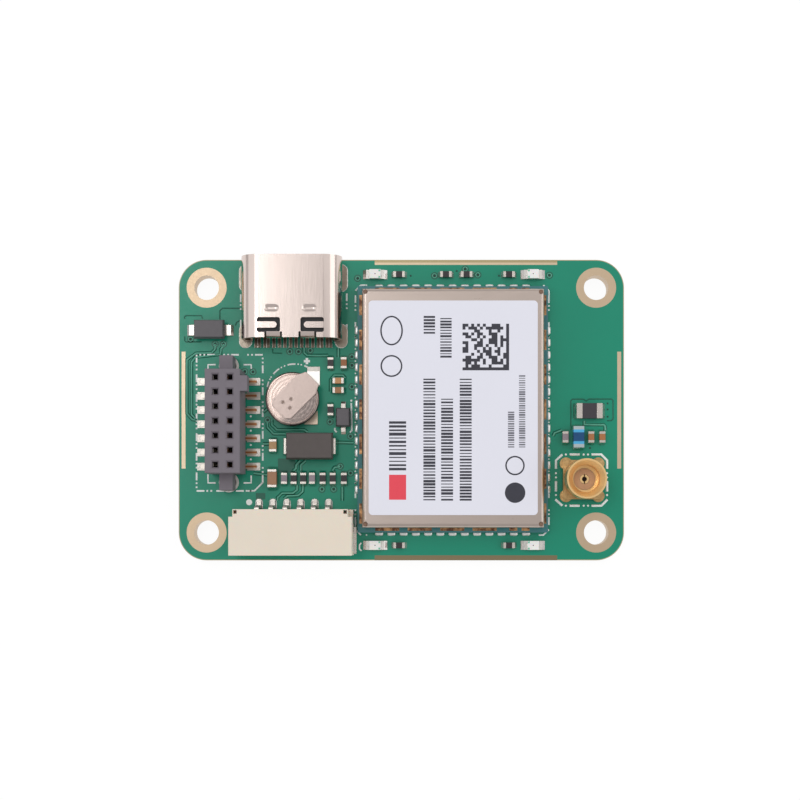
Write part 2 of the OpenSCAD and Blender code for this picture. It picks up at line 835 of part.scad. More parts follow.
module upper_contact_shapes() {
    level = usb_middle + tongue_t / 2 - usb_contact_t;
    riser = block_rear - usb_contact_t;
    for (i = [0 : len(strip_places) - 1]) {
        translate([0, 0, level]) contact_run(strip_places[i], upper_tails[i], usb_tip, block_front, riser);
        translate([upper_tails[i], riser + usb_contact_t / 2, 0])
            block(usb_tail_w, usb_contact_t, level + usb_contact_t - seat, seat);
        translate([upper_tails[i], (riser - tail_out) / 2, 0])
            block(usb_tail_w, riser + tail_out, usb_contact_t, seat);
    }
}

module lower_contact_shapes() {
    level = usb_middle - tongue_t / 2;
    for (i = [0 : len(strip_places) - 1]) {
        translate([strip_places[i], (usb_tip + lower_turn) / 2, 0])
            block(usb_contact_w, usb_tip - lower_turn, usb_contact_t, level);
        translate([strip_places[i], lower_turn + usb_contact_t / 2, 0])
            block(usb_contact_w, usb_contact_t, level + usb_contact_t - seat, seat);
        translate([0, 0, seat])
            contact_run(strip_places[i], lower_tails[i],
                lower_turn + usb_contact_t, lower_turn, tail_straight);
        translate([lower_tails[i], (tail_straight - tail_out) / 2, 0])
            block(usb_tail_w, tail_straight + tail_out, usb_contact_t, seat);
    }
}

// Stiffening plate inside the tongue, with windows that the plastic fills
module latch_shape() {
    y = usb_l - tongue_recess - latch_recess - latch_l;
    translate([0, y + latch_l / 2, usb_middle - latch_t / 2]) difference() {
        block(tongue_w, latch_l, latch_t);
        for (s = [-1, 1])
            translate([s * tongue_w / 4, 0, -over]) block(tongue_w / 4, latch_l / 2, latch_t + 2 * over);
    }
}

module usb_insulator() {
    room = 2 * (usb_sheet + fit);
    color("#26262a") at_usb() difference() {
        union() {
            translate([0, 0, usb_middle]) along_y(block_rear, block_front - block_rear)
                slot(usb_w - room, usb_h - room);
            translate([0, (block_rear + usb_l - tongue_recess) / 2, 0])
                block(tongue_w, usb_l - tongue_recess - block_rear, tongue_t, usb_middle - tongue_t / 2);
        }
        upper_contact_shapes();
        lower_contact_shapes();
        latch_shape();
    }
}

module usb_latch_plate() {
    color("#b9bcc2") at_usb() latch_shape();
}

module usb_upper_contacts() {
    color("#c9a24a") at_usb() upper_contact_shapes();
}

module usb_lower_contacts() {
    color("#c9a24a") at_usb() lower_contact_shapes();
}

module usb_stake_solder() {
    color("#dcdce0") at_usb() difference() {
        for (side = [-1, 1], stake = stakes)
            translate([side * stake_x, stake[0], 0]) {
                linear_extrude(board_t) stake_hole(stake[1]);
                translate([0, 0, board_t]) linear_extrude(solder_t)
                    slot(stake_t + 2 * (stake_slack + stake_pad_rim),
                        stake[1] + 4 * stake_pad_rim + 2 * stake_slack);
            }
        stake_blades();
    }
}

// Pin socket

// Places children at each contact, turned so that +X points outward
module each_socket_contact() {
    for (turn = [0, 180], i = [0 : socket_rows - 1])
        translate([socket_mid, socket_y + (i - (socket_rows - 1) / 2) * socket_pitch, 0])
            rotate([0, 0, turn]) translate([socket_row_x, 0, 0]) children();
}

// Square funnel at the mouth of a contact opening
module funnel(mouth, throat, depth) {
    intersection() {
        along_y(-mouth / 2, mouth) funnel_profile(mouth, throat, depth);
        along_x(mouth) funnel_profile(mouth, throat, depth);
    }
}

module funnel_profile(mouth, throat, depth) {
    polygon([[-throat / 2, -depth], [throat / 2, -depth], [mouth / 2, 0], [-mouth / 2, 0]]);
}

module socket_housing() {
    roof = top + socket_h;
    color("#706a70") difference() {
        translate([socket_mid, socket_y, 0]) union() {
            block(socket_w, socket_l, roof - socket_floor, socket_floor);
            for (s = [-1, 1]) {
                translate([0, s * (socket_l / 2 + lug_l / 2 - over), 0])
                    block(lug_w, lug_l + 2 * over, lug_h, top);
                translate([0, s * lug_y, top - peg_l]) cylinder(d = peg_d, h = peg_l + over);
            }
            translate([socket_w / 2 + key_w / 2 - over, socket_l / 2 - key_from_end, 0])
                block(key_w + 2 * over, key_l, key_h, roof - key_h);
        }
        each_socket_contact() {
            block(cavity_x, cavity_y, roof - socket_entry - socket_floor + over, socket_floor - over);
            block(socket_hole, socket_hole, socket_h, socket_floor + over);
            translate([0, 0, roof]) funnel(socket_hole + 2 * socket_chamfer, socket_hole, socket_chamfer);
        }
    }
}

// Contact with two spring beams, a base and a foot, short of the foot's round end
module socket_contact_profile() {
    base = socket_floor + socket_base_lift;
    beam_top = top + socket_h - socket_entry - beam_gap;
    half = cavity_x / 2 - fit;
    translate([-half, base]) square([2 * half, socket_contact_t]);
    for (x = [-half, half - beam_t])
        translate([x, base]) square([beam_t, beam_top - base]);
    translate([-socket_contact_t / 2, seat]) square([socket_contact_t, base - seat + socket_contact_t]);
    translate([-socket_contact_t / 2, seat])
        square([foot_end + (socket_contact_t - socket_contact_w) / 2, socket_contact_t]);
}

module socket_contacts() {
    color("#c9a24a") each_socket_contact() {
        along_y(-socket_contact_w / 2, socket_contact_w) socket_contact_profile();
        translate([foot_end - socket_contact_w / 2, 0, seat]) cylinder(d = socket_contact_w, h = socket_contact_t);
    }
}

module socket_peg_plating() {
    color("#d9d3c0") for (s = [-1, 1])
        translate([socket_mid, socket_y + s * lug_y, 0]) plated_hole(peg_hole_d, peg_ring_d);
}

// Wire connector

module each_wire_contact() {
    for (i = [0 : wire_contacts_n - 1])
        translate([wire_mid + (i - (wire_contacts_n - 1) / 2) * wire_pitch, 0, 0]) children();
}

// Plates let into both end walls, run out past the wall and the floor by out
module anchor_plates(out = 0) {
    for (s = [-1, 1])
        translate([wire_mid + s * (wire_w - anchor_t + out) / 2, wire_front + anchor_y, 0])
            block(anchor_t + out, anchor_l, anchor_h + solder_t + out, top - out);
}

module wire_housing() {
    cavity_d = wire_d - wire_back;
    color("#e6dccd") difference() {
        translate([wire_mid, wire_front + wire_d / 2, 0]) block(wire_w, wire_d, wire_h, top);
        translate([wire_mid, wire_front + (cavity_d - over) / 2, 0])
            block(wire_cavity_w, cavity_d + over, wire_h - wire_floor - wire_roof, top + wire_floor);
        for (s = [-1, 1]) {
            translate([wire_mid + s * (wire_w - wire_notch[0] + over) / 2,
                wire_rear - (wire_notch[1] - over) / 2, 0])
                block(wire_notch[0] + over, wire_notch[1] + over, wire_notch[2] + over, top + wire_h - wire_notch[2]);
            translate([wire_mid + s * (wire_w / 2 - wire_pocket_x), wire_rear - wire_pocket_y, 0])
                block(wire_pocket, wire_pocket, wire_pocket_depth + over, top + wire_h - wire_pocket_depth);
        }
        each_wire_contact() wire_contact_shape();
        anchor_plates(over);
    }
}

// Quarter of a ring of outer radius r, in the first quadrant
module quarter_ring(r, t) {
    intersection() {
        difference() {
            circle(r);
            circle(r - t);
        }
        square(r);
    }
}

// Pin through the back wall, then a lead bent down to its foot
module wire_contact_shape() {
    lead = wire_rear + wire_lead_out;
    tip = wire_front + wire_pin_recess;
    roof = wire_axis + wire_pin / 2;
    foot = lead - wire_lead_t + wire_bend;
    along_x(wire_pin) {
        translate([tip, roof - wire_pin]) square([wire_rear - tip, wire_pin]);
        translate([wire_rear - over, roof - wire_lead_t])
            square([wire_lead_out - wire_bend + over, wire_lead_t]);
        translate([lead - wire_bend, roof - wire_bend]) quarter_ring(wire_bend, wire_lead_t);
        translate([lead - wire_lead_t, seat + wire_bend])
            square([wire_lead_t, roof - seat - 2 * wire_bend]);
        translate([foot, seat + wire_bend]) rotate(180) quarter_ring(wire_bend, wire_lead_t);
        translate([foot, seat]) square([wire_rear + wire_foot_end - foot, wire_lead_t]);
    }
}

module wire_contacts() {
    color("#d0ccc0") each_wire_contact() wire_contact_shape();
}

module wire_anchors() {
    color("#c9cacd") {
        difference() {
            anchor_plates();
            translate([wire_mid, wire_front + anchor_y, 0]) block(2 * wire_w, 2 * anchor_l, solder_t, top);
        }
        for (s = [-1, 1])
            translate([wire_mid + s * (wire_w + anchor_foot - anchor_t) / 2, wire_front + anchor_y, 0])
                block(anchor_foot + anchor_t, anchor_l, anchor_t, seat);
    }
}

// Antenna jack

module at_jack() {
    translate([jack_x, jack_y, 0]) children();
}

module jack_body() {
    bore = jack_bore_d / 2;
    groove_top = jack_top - jack_lip - jack_groove_drop;
    groove_floor = groove_top - jack_groove_h;
    color("#c9a040") at_jack() difference() {
        union() {
            block(jack_base_w, jack_base_w, jack_base_h - solder_t - jack_lift, seat + jack_lift);
            for (x = [-1, 1], y = [-1, 1])
                translate([x * jack_foot_x, y * jack_foot_x, seat])
                    cylinder(d = jack_foot_d, h = jack_foot_h);
            translate([0, 0, seat + jack_lift])
                cylinder(d = jack_d - 2 * jack_step, h = jack_collar_floor - seat - jack_lift + over);
            translate([0, 0, jack_collar_floor]) cylinder(d = jack_d, h = jack_collar_h);
        }
        translate([0, 0, top]) cylinder(d = jack_insulator_d + 2 * fit, h = jack_h);
        translate([0, 0, jack_insulator_top]) cylinder(r = bore, h = jack_depth + over);
        rotate_extrude()
            polygon([[0, groove_floor], [bore + jack_groove, groove_floor],
                [bore + jack_groove, groove_top], [0, groove_top]]);
        rotate_extrude()
            polygon([[0, jack_top - jack_lip], [bore, jack_top - jack_lip],
                [jack_d / 2 - jack_rim, jack_top], [jack_d / 2 - jack_rim, jack_top + over],
                [0, jack_top + over]]);
    }
}

module jack_insulator() {
    color("#d8c9a8") at_jack() difference() {
        translate([0, 0, seat + jack_lift])
            cylinder(d = jack_insulator_d, h = jack_insulator_top - seat - jack_lift);
        translate([0, 0, top]) cylinder(d = jack_pin_d + 2 * fit, h = jack_h);
    }
}

module jack_contact() {
    color("#c9a040") at_jack() difference() {
        translate([0, 0, seat]) cylinder(d = jack_pin_d, h = jack_insulator_top - seat);
        translate([0, 0, jack_insulator_top - jack_pin_depth])
            cylinder(d = jack_pin_hole_d, h = jack_pin_depth + over);
        block(jack_slit, jack_pin_d + over, jack_pin_depth + over, jack_insulator_top - jack_pin_depth);
    }
}

// Backup cell

module at_cell(turn = 0) {
    translate([cell_mid, cell_mid_y, 0]) rotate([0, 0, turn]) children();
}

module backup_cell() {
    r = cell_d / 2;
    e = cell_edge_r;
    color("#c6c6c8") at_cell() difference() {
        translate([0, 0, cell_floor]) rotate_extrude() {
            square([r - e, cell_h]);
            translate([0, e]) square([r, cell_h - 2 * e]);
            for (y = [e, cell_h - e])
                translate([r - e, y]) circle(e);
        }
        rotate_extrude() translate([cell_groove_r, cell_top - over]) square([cell_groove_w, 2 * over]);
    }
}

// Foot of the top tab, its outer corner square to the board and drawn out along Y by run
module tab_foot_shape(run) {
    end = cell_tab_w / 2 - tab_corner;
    out = tab_leg + cell_tab_t;
    s = run / sqrt(2);
    polygon([[tab_leg, -end], [out, -end], [out + end + s, s], [out + s, end + s], [out, end], [tab_leg, end]]);
}

// The bottom tab from start to its pointed foot
module bottom_tab_shape(start) {
    half = cell_tab_w / 2;
    reach = cell_d / 2 + tab_reach;
    polygon([[start, -half], [reach - half, -half], [reach, 0], [reach - half, half], [start, half]]);
}

// Strip across the cell's top, down its side to its foot
module cell_top_tab() {
    half = cell_tab_w / 2;
    end = half - tab_corner;
    out = tab_leg + cell_tab_t;
    color("#b9b4a8") at_cell(45) {
        translate([0, 0, cell_top]) linear_extrude(cell_tab_t)
            polygon([[-tab_tail, -end], [tab_corner - tab_tail, -half], [out - 2 * tab_corner, -half],
                [out, -end], [out, end], [out - 2 * tab_corner, half],
                [tab_corner - tab_tail, half], [-tab_tail, end]]);
        translate([tab_leg, -end, seat]) cube([cell_tab_t, 2 * end, cell_top + cell_tab_t - seat]);
        translate([0, 0, seat]) linear_extrude(cell_tab_t) tab_foot_shape(tab_foot_l);
    }
}

// Strip under the cell, ending in a pointed foot
module cell_bottom_tab() {
    color("#c9b98c") at_cell(-45) translate([0, 0, seat]) linear_extrude(cell_tab_t)
        bottom_tab_shape(-tab_tail);
}

// Diodes

module large_diode_body() {
    color("#1d1d1f") at(large_diode_at)
        moulding(large_diode_l, large_diode_w, large_diode_h - large_lead_t, seat + large_lead_t);
}

// Leads that leave the body at its middle, and fold down and under it
module large_diode_leads() {
    middle = seat + large_lead_t + (large_diode_h - large_lead_t) / 2;
    end = large_diode_l / 2;
    color("#c9cacd") at(large_diode_at) for (s = [0, 180])
        rotate([0, 0, s]) along_y(-large_lead_w / 2, large_lead_w) {
            translate([end, seat]) square([large_lead_t, middle - seat]);
            translate([end + large_lead_t - large_lead_foot, seat]) square([large_lead_foot, large_lead_t]);
        }
}

module medium_diode_body() {
    color("#2a2422") at(medium_diode_at)
        moulding(medium_diode_l, medium_diode_w, medium_diode_h, seat + flat_lead_t);
}

// Flat leads under both ends of a body
module flat_leads(body_l, out, w) {
    for (s = [-1, 1])
        translate([s * (body_l + out - flat_lead_under) / 2, 0, 0])
            block(out + flat_lead_under, w, flat_lead_t, seat);
}

module medium_diode_leads() {
    color("#c9cacd") at(medium_diode_at) flat_leads(medium_diode_l, medium_lead_l, medium_lead_w);
}

module small_diode_body() {
    color("#2a2422") at(small_diode_at) rotate([0, 0, 90])
        moulding(small_diode_l, small_diode_w, small_diode_h, seat + flat_lead_t);
}

module small_diode_leads() {
    color("#c9cacd") at(small_diode_at) rotate([0, 0, 90])
        flat_leads(small_diode_l, small_lead_l, small_lead_w);
}

// Indicators

module led_base(i) {
    color("#f0efe8") at(leds[i - 1]) block(led_l - 2 * led_end_l, led_w, led_base_h, seat);
}

module led_lens(i) {
    color("#fbfbf4") at(leds[i - 1]) block(led_lens_l, led_w, led_lens_h, seat + led_base_h);
}

module led_terminals() {
    color("#d0ccc0") for (led = leds)
        at(led) chip_caps(led_l, led_w, led_base_h, led_end_l);
}

// Chip parts

module resistor_bodies() {
    color("#222226") for (place = resistors)
        at(place) chip_body(chip_l, chip_w, resistor_h, chip_cap_l);
}

module resistor_caps() {
    color("#c9cacd") for (place = resistors)
        at(place) chip_caps(chip_l, chip_w, resistor_h, chip_cap_l);
}

module capacitor_bodies() {
    color("#a8794a") for (place = capacitors)
        at(place) chip_body(place[3][0], place[3][1], place[3][2], chip_cap_l);
}

module capacitor_caps() {
    color("#c9cacd") for (place = capacitors)
        at(place) chip_caps(place[3][0], place[3][1], place[3][2], chip_cap_l);
}

module bead_bodies() {
    color("#8b8a94") for (place = beads)
        at(place) chip_body(chip_l, chip_w, capacitor_h, chip_cap_l);
}

module bead_caps() {
    color("#c9cacd") for (place = beads)
        at(place) chip_caps(chip_l, chip_w, capacitor_h, chip_cap_l);
}

module inductor_body() {
    color("#3d62b8") at(inductor_at) chip_body(inductor_l, inductor_w, inductor_h, inductor_cap_l);
}

module inductor_caps() {
    color("#c9cacd") at(inductor_at) chip_caps(inductor_l, inductor_w, inductor_h, inductor_cap_l);
}

module fuse_body() {
    color("#2a2a2c") at(fuse_at) chip_body(fuse_l, fuse_w, fuse_h, fuse_cap_l);
}

module fuse_caps() {
    color("#c9cacd") at(fuse_at) chip_caps(fuse_l, fuse_w, fuse_h, fuse_cap_l);
}

// Solder

// Pad under a wire lead, round at its rear end
module wire_pad_shape() {
    straight = wire_pad_l - wire_pad_w / 2;
    translate([-wire_pad_w / 2, 0]) square([wire_pad_w, straight]);
    translate([0, straight]) circle(wire_pad_w / 2);
}

module connector_solder() {
    color("#dcdce0") {
        for (pad = tail_pads)
            at_usb() translate([pad[0], (tail_straight - tail_out) / 2, 0])
                block(pad[1], tail_straight + tail_out, solder_t, top);
        each_socket_contact() translate([foot_end + socket_pad_out - socket_pad_l / 2, 0, 0])
            block(socket_pad_l, socket_pad_w, solder_t, top);
        each_wire_contact() translate([0, wire_rear + wire_pad_gap, top])
            linear_extrude(solder_t) wire_pad_shape();
        for (s = [-1, 1])
            translate([wire_mid + s * (wire_w + anchor_foot - anchor_t) / 2, wire_front + anchor_y, 0])
                block(anchor_foot + anchor_t, anchor_l, solder_t, top);
        at_jack() {
            for (x = [-1, 1], y = [-1, 1])
                translate([x * jack_foot_x, y * jack_foot_x, top]) cylinder(d = jack_foot_d, h = solder_t);
            translate([0, 0, top]) cylinder(d = jack_pin_d, h = solder_t);
        }
        at_cell(45) translate([0, 0, top]) linear_extrude(solder_t) tab_foot_shape(tab_pad_l);
        at_cell(-45) translate([0, 0, top]) linear_extrude(solder_t) bottom_tab_shape(0);
    }
}

module chip_solder() {
    color("#dcdce0") {
        for (place = resistors)
            at(place) chip_joints(chip_l, chip_w, resistor_h, chip_cap_l);
        for (place = capacitors)
            at(place) chip_joints(place[3][0], place[3][1], place[3][2], chip_cap_l,
                place[3] == large_size ? long_solder_l : chip_solder_l);
        for (place = beads)
            at(place) chip_joints(chip_l, chip_w, capacitor_h, chip_cap_l);
        at(inductor_at) chip_joints(inductor_l, inductor_w, inductor_h, inductor_cap_l);
        at(fuse_at) chip_joints(fuse_l, fuse_w, fuse_h, fuse_cap_l, long_solder_l);
        for (led = leds)
            at(led) chip_joints(led_l, led_w, led_base_h, led_end_l, long_solder_l);
        at(large_diode_at)
            chip_joints(large_diode_l + 2 * large_lead_t, large_lead_w, large_diode_h / 2, large_lead_foot);
        at(medium_diode_at)
            chip_joints(medium_diode_l + 2 * medium_lead_l, medium_lead_w, flat_lead_t, medium_lead_l);
        at(small_diode_at) rotate([0, 0, 90])
            chip_joints(small_diode_l + 2 * small_lead_l, small_lead_w, flat_lead_t, small_lead_l);
    }
}

board();
mounting_hole_plating();
edge_strips();
module_solder();
module_board();
module_shield_pads();
module_shield();
module_label();
receiver_chip();
memory_chip();
oscillator();
rf_filters();
usb_shell();
usb_insulator();
usb_latch_plate();
usb_upper_contacts();
usb_lower_contacts();
usb_stake_solder();
socket_housing();
socket_contacts();
socket_peg_plating();
wire_housing();
wire_contacts();
wire_anchors();
jack_body();
jack_insulator();
jack_contact();
backup_cell();
cell_top_tab();
cell_bottom_tab();
large_diode_body();
large_diode_leads();
medium_diode_body();
medium_diode_leads();
small_diode_body();
small_diode_leads();
for (i = [1 : len(leds)])
    led_base(i);
for (i = [1 : len(leds)])
    led_lens(i);
led_terminals();
resistor_bodies();
resistor_caps();
capacitor_bodies();
capacitor_caps();
bead_bodies();
bead_caps();
inductor_body();
inductor_caps();
fuse_body();
fuse_caps();
connector_solder();
chip_solder();
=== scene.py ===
"""Looks of a small satellite positioning board: finishes, prints, traces, solder and the stage."""

import collections
import math

import bpy
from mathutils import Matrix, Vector


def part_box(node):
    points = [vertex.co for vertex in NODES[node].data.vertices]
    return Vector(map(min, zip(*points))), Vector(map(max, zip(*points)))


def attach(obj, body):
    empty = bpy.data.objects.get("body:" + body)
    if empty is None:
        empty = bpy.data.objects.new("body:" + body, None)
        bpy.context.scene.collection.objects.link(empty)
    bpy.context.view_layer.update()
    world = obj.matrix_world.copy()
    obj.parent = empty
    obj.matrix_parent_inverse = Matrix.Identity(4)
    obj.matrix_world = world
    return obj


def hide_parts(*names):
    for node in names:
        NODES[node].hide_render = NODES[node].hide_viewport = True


bl_info = {
    "name": "Positioning board looks",
    "version": (1, 0, 0),
    "blender": (4, 5, 0),
    "location": "3D View > Sidebar > Positioning board",
    "description": "Dresses the packed circuit board with its finishes, prints, traces and stage",
    "category": "Object",
}

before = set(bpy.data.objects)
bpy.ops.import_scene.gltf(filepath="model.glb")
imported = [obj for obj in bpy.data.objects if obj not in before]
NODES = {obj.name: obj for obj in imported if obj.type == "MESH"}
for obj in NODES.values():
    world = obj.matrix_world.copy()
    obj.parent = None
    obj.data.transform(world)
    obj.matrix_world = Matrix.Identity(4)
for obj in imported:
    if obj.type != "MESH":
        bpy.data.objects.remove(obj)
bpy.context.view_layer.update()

MM = 0.001
BOARD_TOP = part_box("board")[1].z / MM
LABEL_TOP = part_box("module_label")[1].z / MM
# Distances between neighbouring pads, contacts and leads, in millimetres
RECEIVER_PITCH = 1.1
SOCKET_PITCH = 1.27
WIRE_PITCH = 1.25

# Places on the board's face in millimetres, from the centre of the mounting holes
VIAS = [
    (-3.93, 11.84), (2.98, 12.07), (5.73, 12.67), (6.87, 12.15), (13.3, 12.11), (-16.73, 5.94),
    (-15.98, 5.94), (-18.94, 6.38), (-14.07, 3.46), (-13.34, 3.44), (-10.03, 5.26), (-9.25, 5.26),
    (-8.19, 5.36), (-12.02, -0.89), (-6.41, -1.05), (-5.49, -5.06), (-4.57, -5.66), (-7.14, -7.11),
    (-6.08, -7.11), (-4.57, -2.35), (-4.44, 4.8), (-4.44, 4.02), (-4.44, 2.09),
]
TENTED_VIAS = [
    (0.84, 12.07), (4.98, 12.5), (8.77, 12.08), (18.53, 0.6), (18.53, 0.06), (18.53, -0.6), (16.95, -3.41),
]
TRACES = [
    [(-16.75, 5.94), (-16.75, 5.47), (-17.06, 5.14), (-18.45, 5.11), (-19.27, 4.52), (-19.27, -0.3),
     (-18.78, -0.84), (-18.35, -0.9)],
    [(-15.97, 5.94), (-15.97, 5.76), (-16.23, 5.49), (-16.23, 4.98), (-18.5, 4.75), (-18.86, 4.32),
     (-18.86, -0.41), (-18.4, -0.87)],
    [(-11.64, -0.87), (-11.64, -1.33), (-11.18, -1.77), (-8.75, -1.77), (-8.44, -1.97)],
    [(-12.05, -1.02), (-12.05, -1.54), (-11.49, -2.13), (-10.4, -2.13)],
    [(-12.47, -0.22), (-12.03, 0.11)],
    [(-9.73, -5.48), (-9.47, -5.25), (-9.47, -4.94), (-9.11, -4.53)],
    [(-9.06, -5.46), (-9.06, -4.94), (-8.6, -4.53)],
    [(-9.37, -6.7), (-9.37, -7.16), (-9.73, -7.47), (-10.71, -7.47), (-11.13, -7.85), (-11.13, -8.14)],
    [(-8.86, -6.7), (-8.86, -7.32), (-9.27, -7.68), (-10.25, -7.71), (-10.56, -7.99)],
    [(-5.86, -2.9), (-4.3, -2.93)],
    [(-5.66, 5.56), (-5.66, 4.75)],
    [(-8.75, 5.63), (-8.75, 5.16), (-8.46, 4.91), (-6.59, 4.91)],
    [(-6.17, -5.41), (-6.02, -5.15), (-5.5, -5.05)],
    [(-5.3, -6.9), (-5.3, -8.14)],
    [(-6.36, 1.66), (-6.36, 2.74), (-6.02, 3.13), (-5.25, 3.13), (-5.02, 2.84)],
    [(-12.45, -3.04), (-11.9, -3.04)],
    [(-13.29, -5.67), (-12.05, -5.82)],
    [(16.43, -0.97), (16.43, -1.32), (18.2, -1.32), (18.31, -1.45), (18.33, -1.81)],
    [(13.64, -2.32), (13.77, -2.04), (14.41, -1.81)],
]
# Gaps that part one copper area from the next
COPPER_GAPS = [
    [(15.23, -1.81), (15.23, 0.82), (15.38, 0.98), (16.39, 0.98), (16.59, 0.82), (16.84, 0.99),
     (18.88, 0.99), (19.02, 0.84), (19.02, -0.78), (18.88, -0.94), (18.47, -0.95)],
    [(-19.47, 8.2), (-19.47, 8.4), (-19.37, 8.49), (-17.96, 8.49), (-17.86, 8.2)],
    [(-16.31, 8.13), (-16.31, 8.93), (-16.09, 9.15), (-14.46, 9.15)],
    [(-19.47, 6.62), (-19.47, 6.26), (-19.37, 6.13), (-17.96, 6.13)],
    [(-14.93, 7.61), (-14.79, 7.91), (-14.46, 8.07)],
    [(-11.59, 5.52), (-11.53, 5.13), (-10.71, 5.1)],
]
# Areas without copper
BARE_PATCHES = [
    [(-11.1, -4.35), (-11.1, -5.61), (-9.85, -5.61), (-9.52, -5.08), (-9.52, -4.35)],
    [(-13.08, -7.45), (-13.08, -8.01), (-12.22, -8.01), (-12.22, -7.45)],
]
# Printed frames of the receiver and the socket, as lowest and highest corners
RECEIVER_FRAME = (-4.13, -11.22, 13.25, 11.22)
SOCKET_FRAME = (-18.4, -7.26, -12.46, 4.97)
# Printed frame of the antenna jack, as lines and dots
JACK_LINES = [
    [(13.89, -5.27), (13.89, -4.52), (14.47, -3.99)], [(15.12, -3.99), (16.02, -3.99)],
    [(17.09, -3.99), (17.97, -3.99), (18.48, -4.52), (18.48, -5.27)], [(18.48, -6.38), (18.48, -7.31)],
    [(18.51, -8.03), (17.97, -8.59), (17.09, -8.59)], [(16.02, -8.59), (15.12, -8.59)],
    [(14.47, -8.59), (13.84, -8.03)], [(13.89, -7.31), (13.89, -6.38)],
]
JACK_DOTS = [(x, y) for x in (14.78, 16.38, 16.77) for y in (-3.99, -8.59)]
JACK_DOTS += [(x, y) for x in (13.89, 18.48) for y in (-5.67, -6.05, -7.63)]
# Printed arc round the backup cell: its centre, radius, dashes and dots in degrees
ARC = (-9.58, 1.64, 2.5)
ARC_DASHES = [(61, 70), (88.5, 105), (124, 140), (158.5, 170)]
ARC_DOTS = [76.4, 83, 111.5, 118.7, 148, 153]
# Printed dashes beside the USB connector, short strokes, a plus, and lone dots as centre, radius and steps
USB_SIDES = [[(-14.43, 10.4), (-14.43, 8.1)], [(-4.91, 10.48), (-4.91, 7.72)]]
STROKES = [
    [(-17.37, 3.62), (-17.37, 4.08), (-16.69, 4.08)], [(-14.17, 4.08), (-13.5, 4.08), (-13.5, 3.72)],
    [(-17.37, -5.77), (-17.37, -6.54), (-16.69, -6.54)], [(-14.17, -6.54), (-13.5, -6.54), (-13.5, -5.87)],
    [(-4.5, 0.63), (-4.45, -1.85), (-4.63, -2.0)], [(-5.97, -1.6), (-5.97, -1.85), (-5.81, -1.98)],
    [(-3.6, -11.93), (-3.77, -12.1), (-3.77, -12.48), (-3.58, -12.64)],
]
PLUS = (-8.49, 4.4)
DOTS = [(-13.68, -8.28, 0.27, 20)]
DOTS += [(-13.53, y, 0.09, 10) for y in (-0.56, -1.85, -3.14, -4.43)]
DOTS += [(-4.5, 0.85, 0.1, 10)]
# Print on the label: bars as x, first and last y, width and pitch, and rings as centre, radii and steps
LABEL_BARS = [
    (-0.3, -5.4, -1.3, 1.5, 0.32), (2.5, -8.1, 2.5, 1.05, 0.27), (4.06, -8.1, 0.75, 1.05, 0.27),
    (5.7, -8.1, 2.5, 1.05, 0.27), (2.5, 6.6, 8.0, 1.0, 0.24), (3.96, 4.5, 7.85, 1.0, 0.24),
]
FINE_BARS = [[(9.7, -3.45), (9.7, -0.4)], [(10.67, -3.45), (10.67, 2.8)]]
LABEL_RINGS = [
    (-0.83, 6.8, 0.93, 1.24, 40), (-0.84, 3.68, 0.9, 0.9, 40), (10.04, -5.09, 0.79, 0.79, 40),
]
# The label's square of cells as lowest corner and side, its dot as centre and radius, and its coloured bar
# as lowest and highest corners
MATRIX = (5.42, 3.3, 4.1)
LABEL_DOT = (10.05, -7.48, 0.9)
LABEL_FIELD = (-1.05, -8.1, 0.45, -5.9)
# Spot welds on the cell's top tab
WELDS = [(-10.5, 0.59), (-9.8, 0.88), (-9.88, 0.09)]
# Solder pools of the USB shell's stakes, as centre, width and length
STAKE_POOLS = [(-9.7 + side * 4.3, y, 1.1, run)
               for side in (-1, 1) for y, run in ((11.85, 2.4), (6.65, 2.1))]
# Lamps in metres, as name, place, target, width and depth
LAMPS = (
    ("key", (-0.308, 0.20, 0.40), (0.0, 0.20, 0.0), 0.44, 0.635),
    ("window", (-0.175, 0.14, 0.6), (-0.175, 0.14, 0.0), 0.15, 0.222),
    ("back", (0.24, 0.30, 0.45), (0.24, 0.0, 0.0), 0.4, 0.508),
    ("fill", (0.40, 0.0, 0.25), (0.0, 0.0, 0.0), 0.5, 0.3),
)
# The camera's place in millimetres, its shift in shares of the picture's width, and its sensor
CAMERA_PLACE = (1.716, -10.4)
CAMERA_SHIFT = (-0.0256, 0.1573)
SENSOR = 36.0

Finish = collections.namedtuple("Finish", "material tree shader place")


def linear(code):
    """An sRGB hex code as linear red, green, blue and alpha."""
    parts = [int(code[i:i + 2], 16) / 255 for i in (1, 3, 5)]
    return tuple(c / 12.92 if c <= 0.04045 else ((c + 0.055) / 1.055) ** 2.4 for c in parts) + (1.0,)


def colour(name, description, code):
    """A colour setting with its default from a hex code."""
    return bpy.props.FloatVectorProperty(
        name=name, description=description, subtype="COLOR", size=4, min=0.0, max=1.0, default=linear(code))


def length(name, description, millimetres):
    """A length setting with its default in millimetres."""
    return bpy.props.FloatProperty(
        name=name, description=description, subtype="DISTANCE", unit="LENGTH", min=0.0, precision=5,
        default=millimetres * MM)


def lamp_power(name, description, watts):
    """A lamp's power setting with its default in watts."""
    return bpy.props.FloatProperty(name=name, description=description, subtype="POWER", default=watts)


def settings_of(kind, name, description):
    """A setting that holds a group of settings."""
    return bpy.props.PointerProperty(type=kind, name=name, description=description)


